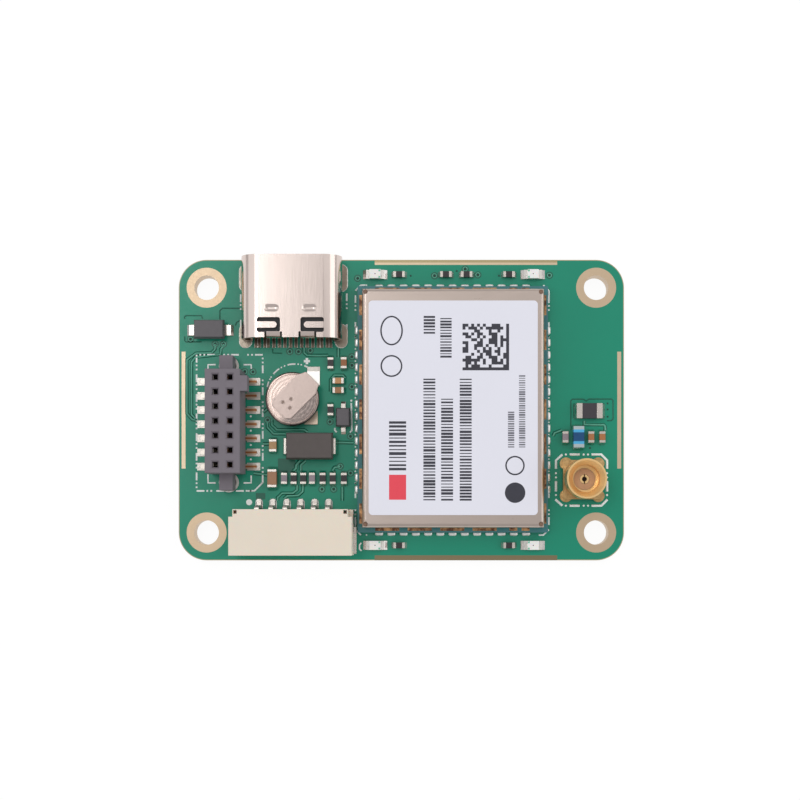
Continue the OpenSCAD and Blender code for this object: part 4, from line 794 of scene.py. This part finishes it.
class BOARD_OT_label(bpy.types.Operator):
    """Prints plain fields, bars and cells on the receiver's label"""
    bl_idname = "positioning_board.label"
    bl_label = "Label print"

    def execute(self, context):
        look = context.scene.positioning_board.receiver
        # Satin polyester film: even, with a trace of orange peel
        film = surface("label_polyester", look.label, 0.42, tone=0.012, patch=5.0, grain=0.3, depth=0.002)
        film.shader.inputs["Specular IOR Level"].default_value = 0.35
        dress(film, "module_label")
        # Transfer-printed ink: dense, with a faint mottle, and greyer where the print is fine
        ink = surface("label_ink", look.ink, 0.5, tone=0.15, patch=0.4, grain=0.1)
        pale = surface("label_fine_ink", linear("#6d6d78"), 0.5, tone=0.15, patch=0.4, grain=0.1)
        accent = surface("label_accent_ink", look.accent, 0.5, tone=0.04, patch=0.5, grain=0.1)
        thick, overlap = 0.016, 1.01
        bars = bars_tree()
        for i, (x, y0, y1, width, pitch) in enumerate(LABEL_BARS):
            lay(f"label_bars_{i + 1}", "label_film", paths([[(x, y0), (x, y1)]], LABEL_TOP), bars,
                pitch=pitch * MM, width=width * MM, height=thick * MM, seed=look.seed + i, material=ink)
        x0, y0, side = MATRIX
        cell = side / look.cells
        x1, y1, inner, above = x0 + side, y0 + side, x0 + side - cell, y0 + cell
        edges = [[(x0, y0), (x1, y0), (x1, above), (x0, above)],
                 [(inner, above), (x1, above), (x1, y1), (inner, y1)]]
        plates("label_matrix_edges", "label_film", edges, LABEL_TOP, thick / 2, ink)
        places = [(x0 + (i + 0.5) * cell, y0 + (j + 0.5) * cell)
                  for i in range(look.cells - 1) for j in range(1, look.cells)]
        lay("label_matrix", "label_film", points(places, LABEL_TOP), matrix_tree(), cell=cell * overlap * MM,
            height=thick * MM, seed=look.seed, material=ink)
        rings = [ring_line(x, y, rx, ry, steps=steps) for x, y, rx, ry, steps in LABEL_RINGS]
        lay("label_rings", "label_film", paths(rings, LABEL_TOP, closed=True), strip_tree(), width=0.13 * MM,
            height=thick * MM, material=ink)
        lay("label_fine_bars", "label_film", paths(FINE_BARS, LABEL_TOP), bars, pitch=0.2 * MM,
            width=0.55 * MM, height=thick * MM, seed=look.seed + 9, material=pale)
        plates("label_dot", "label_film", [disc(*LABEL_DOT)], LABEL_TOP, thick / 2, ink)
        x0, y0, x1, y1 = LABEL_FIELD
        field = [(x0, y0), (x1, y0), (x1, y1), (x0, y1)]
        plates("label_field", "label_film", [field], LABEL_TOP, thick / 2, accent)
        return {"FINISHED"}


class BOARD_OT_usb(bpy.types.Operator):
    """Finishes the USB connector"""
    bl_idname = "positioning_board.usb"
    bl_label = "USB connector"

    def execute(self, context):
        look = context.scene.positioning_board.connectors
        # Rolled stainless sheet: fine lines along the plug's way, drawn coarser than real
        dress(surface("rolled_stainless", look.shell, 0.16, 1.0, tone=0.03, patch=3.0, grain=0.09,
                      depth=0.0025, stretch=(1, 0.05, 1)), "usb_shell", "usb_latch_plate")
        # Moulded polymer: black and slightly mottled
        dress(surface("black_liquid_crystal_polymer", linear("#1d1d20"), 0.5, tone=0.12, patch=1.0,
                      grain=0.08), "usb_insulator")
        # Gold flash on the contacts, darker where their tails leave the shell, as painted shade under the
        # shell's rear
        tail = surface("gold_flash_with_dull_tails", look.contact, 0.3, 1.0, tone=0.08, patch=0.8, grain=0.1)
        apart = add(tail.tree, "ShaderNodeSeparateXYZ", {"Vector": tail.place})
        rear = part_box("usb_shell")[0].y
        # Painted shade: dull brown on the tails from just inside the shell's rear outwards
        fade(tail, apart.outputs["Y"], rear + 0.6 * MM, rear + 0.2 * MM, linear("#6a5f52"))
        dress(tail, "usb_upper_contacts", "usb_lower_contacts")
        return {"FINISHED"}


class BOARD_OT_socket(bpy.types.Operator):
    """Finishes the pin socket"""
    bl_idname = "positioning_board.socket"
    bl_label = "Pin socket"

    def execute(self, context):
        look = context.scene.positioning_board.connectors
        # Glass-filled nylon: matt with fine mineral grain
        dress(surface("grey_glass_filled_nylon", look.socket, 0.55, tone=0.08, patch=0.7, grain=0.09,
                      depth=0.008, edge=0.06), "socket_housing")
        # Plated holes of the pegs: dark beside the peg as painted shade in the hole, with a bright line of
        # solder near the rim
        peg = surface("tarnished_peg_ring", linear("#4d5650"), 0.4, 0.6, tone=0.15, patch=0.4)
        tree = peg.tree
        low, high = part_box("socket_peg_plating")
        reach = (high.x - low.x) / 2
        centre = ((low.x + high.x) / 2, (low.y + high.y) / 2, 0)
        apart = (0, (high.y - low.y) / 2 - reach, 0)
        moved = add(tree, "ShaderNodeVectorMath", {0: peg.place, 1: centre}, operation="SUBTRACT")
        folded = add(tree, "ShaderNodeVectorMath", {0: moved.outputs[0]}, operation="ABSOLUTE")
        from_peg = add(tree, "ShaderNodeVectorMath", {0: folded.outputs[0], 1: apart}, operation="SUBTRACT")
        flat = add(tree, "ShaderNodeVectorMath", {0: from_peg.outputs[0], 1: (1, 1, 0)}, operation="MULTIPLY")
        away = add(tree, "ShaderNodeVectorMath", {0: flat.outputs[0]}, operation="LENGTH")
        # Painted shade: dark plating beside the peg, with the solder's bright line at the rim
        fade(peg, away.outputs["Value"], reach - 0.26 * MM, reach - 0.2 * MM, linear("#e6e2dc"))
        dress(peg, "socket_peg_plating")
        # Tinned bronze feet: paler at the left than at the right, as painted light and shade, with a brown
        # line along the middle of each foot at the right
        foot = surface("tinned_bronze_foot", linear("#b7a48f"), 0.34, 1.0, tone=0.1, patch=0.5, grain=0.1)
        tree = foot.tree
        low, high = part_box("socket_contacts")
        middle = (low.x + high.x) / 2
        apart = add(tree, "ShaderNodeSeparateXYZ", {"Vector": foot.place})
        # Painted light: the feet at the left, on the lamp's side, take a paler tin colour
        left = add(tree, "ShaderNodeMath", {0: apart.outputs["X"], 1: middle}, operation="LESS_THAN")
        cover(foot, left.outputs[0], linear("#d8d0c6"))
        row = add(tree, "ShaderNodeMath", {0: apart.outputs["Y"], 1: SOCKET_PITCH * MM}, operation="DIVIDE")
        off = add(tree, "ShaderNodeMath", {0: row.outputs[0], 1: 0.5}, operation="PINGPONG")
        near = add(tree, "ShaderNodeMapRange", {"Value": off.outputs[0], "From Min": 0.09, "From Max": 0.05})
        brown_line = add(tree, "ShaderNodeMath", {0: near.outputs[0], 1: left.outputs[0]}, operation="SUBTRACT",
                   use_clamp=True)
        cover(foot, brown_line.outputs[0], linear("#94613f"))
        dress(foot, "socket_contacts")
        return {"FINISHED"}


class BOARD_OT_wire(bpy.types.Operator):
    """Finishes the wire connector, and the tinned leads and end caps"""
    bl_idname = "positioning_board.wire"
    bl_label = "Wire connector"

    def execute(self, context):
        look = context.scene.positioning_board.connectors
        # Natural nylon: creamy, waxy, a little light passes into it
        nylon = surface("natural_nylon", look.housing, 0.5, tone=0.025, patch=3.0, grain=0.2, depth=0.003,
                        edge=0.1)
        nylon.shader.inputs["Subsurface Weight"].default_value = 0.15
        nylon.shader.inputs["Subsurface Scale"].default_value = 0.4 * MM
        dress(nylon, "wire_housing")
        # Matt tin plate: pale, with a faint crystal grain
        tin = surface("tin_plate", look.tin, 0.26, 1.0, tone=0.06, patch=0.6, grain=0.12, depth=0.006,
                      edge=0.05)
        dress(tin, "wire_contacts", "wire_anchors", "large_diode_leads", "medium_diode_leads",
              "small_diode_leads", "resistor_caps", "capacitor_caps", "bead_caps", "fuse_caps")
        return {"FINISHED"}


class BOARD_OT_jack(bpy.types.Operator):
    """Finishes the antenna jack"""
    bl_idname = "positioning_board.jack"
    bl_label = "Antenna jack"

    def execute(self, context):
        look = context.scene.positioning_board.connectors
        # Turned brass under gold: fine tool rings on the barrel, and a duller base with flux and scratches
        gold = surface("gold_plated_brass", look.jack, 0.32, 1.0, tone=0.05, patch=1.0, grain=0.1,
                       depth=0.006, stretch=(1, 1, 3))
        apart = add(gold.tree, "ShaderNodeSeparateXYZ", {"Vector": gold.place})
        base_top = (BOARD_TOP + 1.05) * MM
        below = add(gold.tree, "ShaderNodeMath", {0: apart.outputs["Z"], 1: base_top}, operation="LESS_THAN")
        dull = blotched(gold.tree, gold.place, 0.35, linear("#8a6a42"), linear("#efcd95"))
        cover(gold, below.outputs[0], dull)
        dress(gold, "jack_body", "jack_contact")
        # Fluoropolymer: warm and waxy
        dress(surface("jack_fluoropolymer", linear("#e0b791"), 0.5, tone=0.05, patch=0.8), "jack_insulator")
        # Shade in the contact's bore, where no light reaches
        shade = surface("shaded_bore", linear("#1c0f08"), 0.8, tone=0.2, patch=0.2)
        (x0, y0, _), (x1, y1, top) = span("jack_contact")
        sunk = 0.3
        bore = disc((x0 + x1) / 2, (y0 + y1) / 2, 0.21, 20)
        plates("contact_bore_floor", "jack_gold", [bore], top - sunk, 0.1, shade)
        return {"FINISHED"}


class BOARD_OT_cell(bpy.types.Operator):
    """Finishes the backup cell and its weld marks"""
    bl_idname = "positioning_board.cell"
    bl_label = "Backup cell"

    def execute(self, context):
        look = context.scene.positioning_board.connectors
        # Pressed stainless cup: circular press lines, drawn coarser than real, and a painted ring near the
        # rim that stands for a groove's shade and highlight
        steel = surface("pressed_cell_steel", look.cell, 0.22, 1.0, tone=0.04, patch=1.5, grain=0.1)
        tree = steel.tree
        low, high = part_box("backup_cell")
        centre = ((low.x + high.x) / 2, (low.y + high.y) / 2, 0)
        moved = add(tree, "ShaderNodeVectorMath", {0: steel.place, 1: centre}, operation="SUBTRACT")
        rings = add(tree, "ShaderNodeTexWave",
                    {"Vector": moved.outputs[0], "Scale": 1 / (0.9 * MM), "Distortion": 3.0},
                    wave_type="RINGS", rings_direction="Z")
        turned = add(tree, "ShaderNodeBump",
                     {"Height": rings.outputs["Fac"], "Strength": 0.4, "Distance": 0.004 * MM})
        grained = steel.shader.inputs["Normal"].links[0].from_node
        tree.links.new(turned.outputs["Normal"], grained.inputs["Normal"])
        # The side away from the lamp is scratched, and dark as a painted reflection of the dim side of the
        # studio
        apart = add(tree, "ShaderNodeSeparateXYZ", {"Vector": steel.place})
        lean = add(tree, "ShaderNodeMath", {0: apart.outputs["X"], 1: apart.outputs["Y"]},
                   operation="SUBTRACT")
        middle = (low.x + high.x - low.y - high.y) / 2
        # Painted reflection: dark blotches laid over the side away from the lamp
        dull = blotched(tree, steel.place, 0.3, linear("#665c59"), linear("#a69893"))
        fade(steel, lean.outputs[0], middle + 0.4 * MM, middle + 1.4 * MM, dull)
        flat = add(tree, "ShaderNodeVectorMath", {0: moved.outputs[0], 1: (1, 1, 0)}, operation="MULTIPLY")
        away = add(tree, "ShaderNodeVectorMath", {0: flat.outputs[0]}, operation="LENGTH")
        # Painted shade and highlight of a groove: a ring of one colour, darker than the lit side and lighter
        # than the dark side
        groove_radius, groove_half = (high.x - low.x) / 2 - 0.22 * MM, 0.035 * MM
        groove = add(tree, "ShaderNodeMath", {0: away.outputs["Value"], 1: groove_radius, 2: groove_half},
                     operation="COMPARE")
        cover(steel, groove.outputs[0], linear("#b49c92"))
        dress(steel, "backup_cell")
        # Nickel sheet: sandy from the press, yellowish along the bend as a painted highlight, and paler down
        # the leg to white at its foot as painted light
        tab = surface("nickel_tab", linear("#b9a8a1"), 0.3, 1.0, tone=0.09, patch=0.25, grain=0.14,
                      depth=0.012, edge=0.07)
        tree = tab.tree
        apart = add(tree, "ShaderNodeSeparateXYZ", {"Vector": tab.place})
        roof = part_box("cell_top_tab")[1].z
        # Painted highlight along the bend, then painted light that grows paler down the leg
        down = add(tree, "ShaderNodeMapRange", {"Value": apart.outputs["Z"], "From Min": roof - 0.25 * MM,
                                                "From Max": roof - 1.2 * MM})
        painted_leg_light = add(tree, "ShaderNodeMix", {0: down.outputs[0], 6: linear("#e2cfa4"), 7: linear("#f6f3ee")},
                     data_type="RGBA")
        fade(tab, apart.outputs["Z"], roof - 0.18 * MM, roof - 0.3 * MM, painted_leg_light.outputs[2])
        dress(tab, "cell_top_tab")
        # Nickel browned by flux under the cell
        dress(surface("flux_stained_nickel", linear("#bfae9c"), 0.35, 1.0, tone=0.12, patch=0.4, grain=0.14,
                      depth=0.01), "cell_bottom_tab")
        # Spot welds: small scorched dimples with a raised lip
        scorch = surface("scorched_weld", linear("#8d7d74"), 0.45, 1.0, tone=0.2, patch=0.2, grain=0.08)
        lay("weld_marks", "tab_steel", points(WELDS, roof / MM), via_tree(), radius=0.15 * MM, bead=0.03 * MM,
            hole=0.13 * MM, ring_material=tab, hole_material=scorch)
        return {"FINISHED"}


class BOARD_OT_diodes(bpy.types.Operator):
    """Finishes the three diodes"""
    bl_idname = "positioning_board.diodes"
    bl_label = "Diodes"

    def execute(self, context):
        # Filled moulding epoxy: matt and sandy, brown or grey
        grey_bodies = ("medium_diode_body", "small_diode_body")
        for name, code, nodes in (("brown_moulded_epoxy", "#524a48", ("large_diode_body",)),
                                  ("grey_moulded_epoxy", "#5f5b5f", grey_bodies)):
            dress(surface(name, linear(code), 0.5, tone=0.1, patch=0.5, grain=0.07, depth=0.012, edge=0.08),
                  *nodes)
        return {"FINISHED"}


class BOARD_OT_indicators(bpy.types.Operator):
    """Finishes the indicators and prints their polarity marks"""
    bl_idname = "positioning_board.indicators"
    bl_label = "Indicators"

    def execute(self, context):
        # White reflecting board
        base = surface("white_epoxy_board", linear("#eeeae4"), 0.5, tone=0.04, patch=0.4)
        # Clear epoxy over a white reflector: milky and glossy
        lens = surface("milky_lens_epoxy", linear("#fffcf8"), 0.2, tone=0.03, patch=0.5)
        lens.shader.inputs["Subsurface Weight"].default_value = 0.15
        lens.shader.inputs["Subsurface Scale"].default_value = 0.3 * MM
        # Wet tin on the terminals: white, with dark streaks where the solder creeps up
        dress(surface("wet_tin_terminal", linear("#e4e0da"), 0.25, 0.55, tone=0.3, patch=0.22, grain=0.1,
                      depth=0.01), "led_terminals")
        # Pale green marks and the dark speck of the die
        mark = surface("green_polarity_ink", linear("#79c9a8"), 0.5, tone=0.08, patch=0.2)
        die = surface("indicator_die", linear("#6e5a58"), 0.4, tone=0.1, patch=0.1)
        # Each mark's nearest and farthest distance from the lens's inner edge and from its middle line
        near, far, inner, outer = 0.03, 0.19, 0.2, 0.37
        shapes, dies = [], []
        for i in range(1, 5):
            dress(base, f"led_base_{i}")
            dress(lens, f"led_lens_{i}")
            (x0, y0, _), (x1, y1, top) = span(f"led_lens_{i}")
            middle = (y0 + y1) / 2
            inward = 1 if x0 < 0 else -1
            edge = x1 if inward > 0 else x0
            left, right = sorted((edge - inward * near, edge - inward * far))
            for side in (-1, 1):
                lower, upper = sorted((middle + side * inner, middle + side * outer))
                shapes.append(rounded(left, lower, right, upper, 0.03, steps=2))
            dies.append(disc((x0 + x1) / 2, middle, 0.05, 10))
        plates("indicator_marks", "led_lens", shapes, top, 0.008, mark)
        plates("indicator_dies", "led_lens", dies, top, 0.006, die)
        return {"FINISHED"}


class BOARD_OT_chips(bpy.types.Operator):
    """Finishes the chip resistors, capacitors, beads, inductor and fuse"""
    bl_idname = "positioning_board.chips"
    bl_label = "Chip parts"

    def execute(self, context):
        # Printed glaze over alumina: dark and satin
        dress(surface("resistor_glaze", linear("#2b2729"), 0.35, tone=0.12, patch=0.3, grain=0.06),
              "resistor_bodies")
        # Fired dielectric: each value has its own brown, so the shade steps along the board
        fired = surface("fired_dielectric", linear("#ffffff"), 0.45, tone=0.08, patch=0.3, grain=0.06,
                        edge=0.06)
        bands = [(-8.0, "#a97c5c"), (-4.6, "#c9a070"), (-2.85, "#b07242"), (0.0, "#a97850"),
                 (2.2, "#c79260"), (3.3, "#a5693f")]
        first, last = -8, 6
        apart = add(fired.tree, "ShaderNodeSeparateXYZ", {"Vector": fired.place})
        share = add(fired.tree, "ShaderNodeMapRange",
                    {"Value": apart.outputs["Y"], "From Min": first * MM, "From Max": last * MM})
        steps = add(fired.tree, "ShaderNodeValToRGB", {"Fac": share.outputs[0]})
        ramp = steps.color_ramp
        ramp.interpolation = "CONSTANT"
        while len(ramp.elements) < len(bands):
            ramp.elements.new(1.0)
        for element, (y, code) in zip(ramp.elements, bands):
            element.position = (y - first) / (last - first)
            element.color = linear(code)
        cover(fired, 1.0, steps.outputs["Color"], "MULTIPLY")
        dress(fired, "capacitor_bodies")
        # Sintered ferrite: grey and even
        dress(surface("grey_ferrite", linear("#93878f"), 0.45, tone=0.08, patch=0.4, grain=0.06),
              "bead_bodies")
        # Wound inductor under blue resin, paler at its ends
        resin = surface("blue_resin", linear("#064a7c"), 0.25, tone=0.15, patch=0.5)
        low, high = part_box("inductor_body")
        apart = add(resin.tree, "ShaderNodeSeparateXYZ", {"Vector": resin.place})
        off = add(resin.tree, "ShaderNodeMath", {0: apart.outputs["Y"], 1: (low.y + high.y) / 2},
                  operation="SUBTRACT")
        away = add(resin.tree, "ShaderNodeMath", {0: off.outputs[0]}, operation="ABSOLUTE")
        fade(resin, away.outputs[0], 0.36 * MM, 0.44 * MM, linear("#4fb3e6"))
        dress(resin, "inductor_body")
        # Tin seen through a bluish glaze
        dress(surface("blue_glazed_tin", linear("#bcc9cc"), 0.3, 0.8, tone=0.06, patch=0.4), "inductor_caps")
        # Fuse under a black film
        dress(surface("fuse_film", linear("#38343a"), 0.45, tone=0.1, patch=0.4, grain=0.08), "fuse_body")
        return {"FINISHED"}


class BOARD_OT_solder(bpy.types.Operator):
    """Finishes the solder of all other joints"""
    bl_idname = "positioning_board.solder"
    bl_label = "Solder"

    def execute(self, context):
        look = context.scene.positioning_board.connectors
        # Reflowed solder: bright and smooth
        dress(surface("reflowed_solder", look.solder, 0.22, 1.0, tone=0.05, patch=0.5, grain=0.25,
                      depth=0.012), "module_solder", "chip_solder")
        # Pools under the connectors: sunk and grey, and darker round the wire connector's leads as painted
        # shade
        pool = surface("sunk_solder", linear("#bbb5ae"), 0.3, 1.0, tone=0.12, patch=0.5, grain=0.25,
                       depth=0.02)
        apart = add(pool.tree, "ShaderNodeSeparateXYZ", {"Vector": pool.place})
        # Painted shade: darker solder at and below the wire connector's leads
        leads_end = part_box("wire_contacts")[1].y + 0.4 * MM
        leads = add(pool.tree, "ShaderNodeMath", {0: apart.outputs["Y"], 1: leads_end}, operation="LESS_THAN")
        cover(pool, leads.outputs[0], linear("#7f8580"))
        dress(pool, "connector_solder")
        # Solder round the USB shell's stakes: grey-brown and darker than the other solder, as painted shade
        # of the sunk pools
        dress(surface("flux_stained_solder", linear("#93897c"), 0.3, 1.0, tone=0.2, patch=0.4, grain=0.25,
                      depth=0.02), "usb_stake_solder")
        # Bright rims where the solder wets the pads
        rim = surface("solder_rim", linear("#e9e6e2"), 0.25, 0.7, tone=0.05, patch=0.5)
        bead = bead_tree()
        outlines = [rounded(x - w / 2, y - run / 2, x + w / 2, y + run / 2, w / 2, steps=10)
                    for x, y, w, run in STAKE_POOLS]
        lay("stake_rims", "solder", paths(outlines, BOARD_TOP, closed=True), bead, radius=0.055 * MM,
            material=rim)
        rear = span("wire_housing")[1][1]
        (x0, _, _), (x1, _, _) = span("wire_contacts")
        half, start, turn = 0.3, rear + 0.12, rear + 0.66
        arches = []
        for i in range(6):
            x = (x0 + x1) / 2 + (i - 2.5) * WIRE_PITCH
            arch = ring_line(x, turn, half, half, 0, 180, 10)
            arches.append([(x + half, start)] + arch + [(x - half, start)])
        lay("lead_rims", "solder", paths(arches, BOARD_TOP + 0.04), bead, radius=0.045 * MM, material=rim)
        return {"FINISHED"}


class BOARD_OT_stage(bpy.types.Operator):
    """Sets the floor, the light and the camera"""
    bl_idname = "positioning_board.stage"
    bl_label = "Stage"

    def execute(self, context):
        look = context.scene.positioning_board.stage
        scene = context.scene
        scene.view_settings.view_transform = "Standard"
        self.floor(look)
        world = bpy.data.worlds.new("studio")
        scene.world = world
        world.use_nodes = True
        sky = world.node_tree.nodes["Background"]
        sky.inputs["Color"].default_value = (1, 1, 1, 1)
        sky.inputs["Strength"].default_value = look.sky
        for name, place, target, width, depth in LAMPS:
            self.lamp(f"{name}_softbox", place, target, width, depth, getattr(look, name))
        camera = bpy.data.cameras.new("camera")
        camera.lens = look.lens
        camera.sensor_width = SENSOR
        camera.shift_x, camera.shift_y = CAMERA_SHIFT
        camera.clip_start = 0.01
        holder = bpy.data.objects.new("camera", camera)
        holder.location = (CAMERA_PLACE[0] * MM, CAMERA_PLACE[1] * MM, look.height + BOARD_TOP * MM)
        scene.collection.objects.link(holder)
        scene.camera = holder
        return {"FINISHED"}

    def floor(self, look):
        """A pale floor that the camera sees nearly white, and that keeps the board's shadow."""
        side, z = 0.9, -0.00005
        mesh = bpy.data.meshes.new("floor")
        mesh.from_pydata([(-side, -side, z), (side, -side, z), (side, side, z), (-side, side, z)], [],
                         [(0, 1, 2, 3)])
        paper = bpy.data.materials.new("paper_floor")
        paper.use_nodes = True
        tree = paper.node_tree
        tree.nodes.clear()
        ray = add(tree, "ShaderNodeLightPath")
        either = add(tree, "ShaderNodeMath",
                     {0: ray.outputs["Is Camera Ray"], 1: ray.outputs["Is Glossy Ray"]}, operation="MAXIMUM")
        seen = add(tree, "ShaderNodeMath", {0: either.outputs[0], 1: ray.outputs["Is Transmission Ray"]},
                   operation="MAXIMUM")
        glow_share = 0.9
        share = add(tree, "ShaderNodeMath", {0: seen.outputs[0], 1: glow_share}, operation="MULTIPLY")
        matt = add(tree, "ShaderNodeBsdfDiffuse", {"Color": look.floor})
        glow = add(tree, "ShaderNodeEmission", {"Color": (1, 1, 1, 1), "Strength": 1.04})
        mixed = add(tree, "ShaderNodeMixShader",
                    {0: share.outputs[0], 1: matt.outputs[0], 2: glow.outputs[0]})
        add(tree, "ShaderNodeOutputMaterial", {"Surface": mixed.outputs[0]})
        mesh.materials.append(paper)
        floor = bpy.data.objects.new("floor", mesh)
        bpy.context.scene.collection.objects.link(floor)

    def lamp(self, name, place, target, width, depth, power):
        """A soft rectangular lamp that faces a target."""
        light = bpy.data.lights.new(name, "AREA")
        light.shape = "RECTANGLE"
        light.size, light.size_y, light.energy = width, depth, power
        holder = bpy.data.objects.new(name, light)
        holder.location = place
        holder.rotation_euler = (holder.location - Vector(target)).to_track_quat("Z", "Y").to_euler()
        bpy.context.scene.collection.objects.link(holder)


class BOARD_PT_looks(bpy.types.Panel):
    """Lists the steps that dress the board"""
    bl_idname = "BOARD_PT_looks"
    bl_label = "Positioning board"
    bl_space_type = "VIEW_3D"
    bl_region_type = "UI"
    bl_category = "Positioning board"

    def draw(self, context):
        settings = context.scene.positioning_board
        for group in (settings.board, settings.receiver, settings.connectors, settings.stage):
            box = self.layout.box()
            for name in group.bl_rna.properties.keys():
                if name not in ("rna_type", "name"):
                    box.prop(group, name)
        for step in STEPS:
            self.layout.operator(step.bl_idname)


STEPS = (BOARD_OT_mask, BOARD_OT_traces, BOARD_OT_legend, BOARD_OT_receiver, BOARD_OT_label, BOARD_OT_usb,
         BOARD_OT_socket, BOARD_OT_wire, BOARD_OT_jack, BOARD_OT_cell, BOARD_OT_diodes, BOARD_OT_indicators,
         BOARD_OT_chips, BOARD_OT_solder, BOARD_OT_stage)
CLASSES = (BoardSettings, ReceiverSettings, ConnectorSettings, StageSettings, PositioningBoardSettings)
CLASSES += STEPS + (BOARD_PT_looks,)


def register():
    for one in CLASSES:
        bpy.utils.register_class(one)
    bpy.types.Scene.positioning_board = bpy.props.PointerProperty(type=PositioningBoardSettings)


def unregister():
    del bpy.types.Scene.positioning_board
    for one in reversed(CLASSES):
        bpy.utils.unregister_class(one)


def main():
    register()
    for step in STEPS:
        getattr(bpy.ops.positioning_board, step.bl_idname.split(".")[1])()


if __name__ == "__main__":
    main()
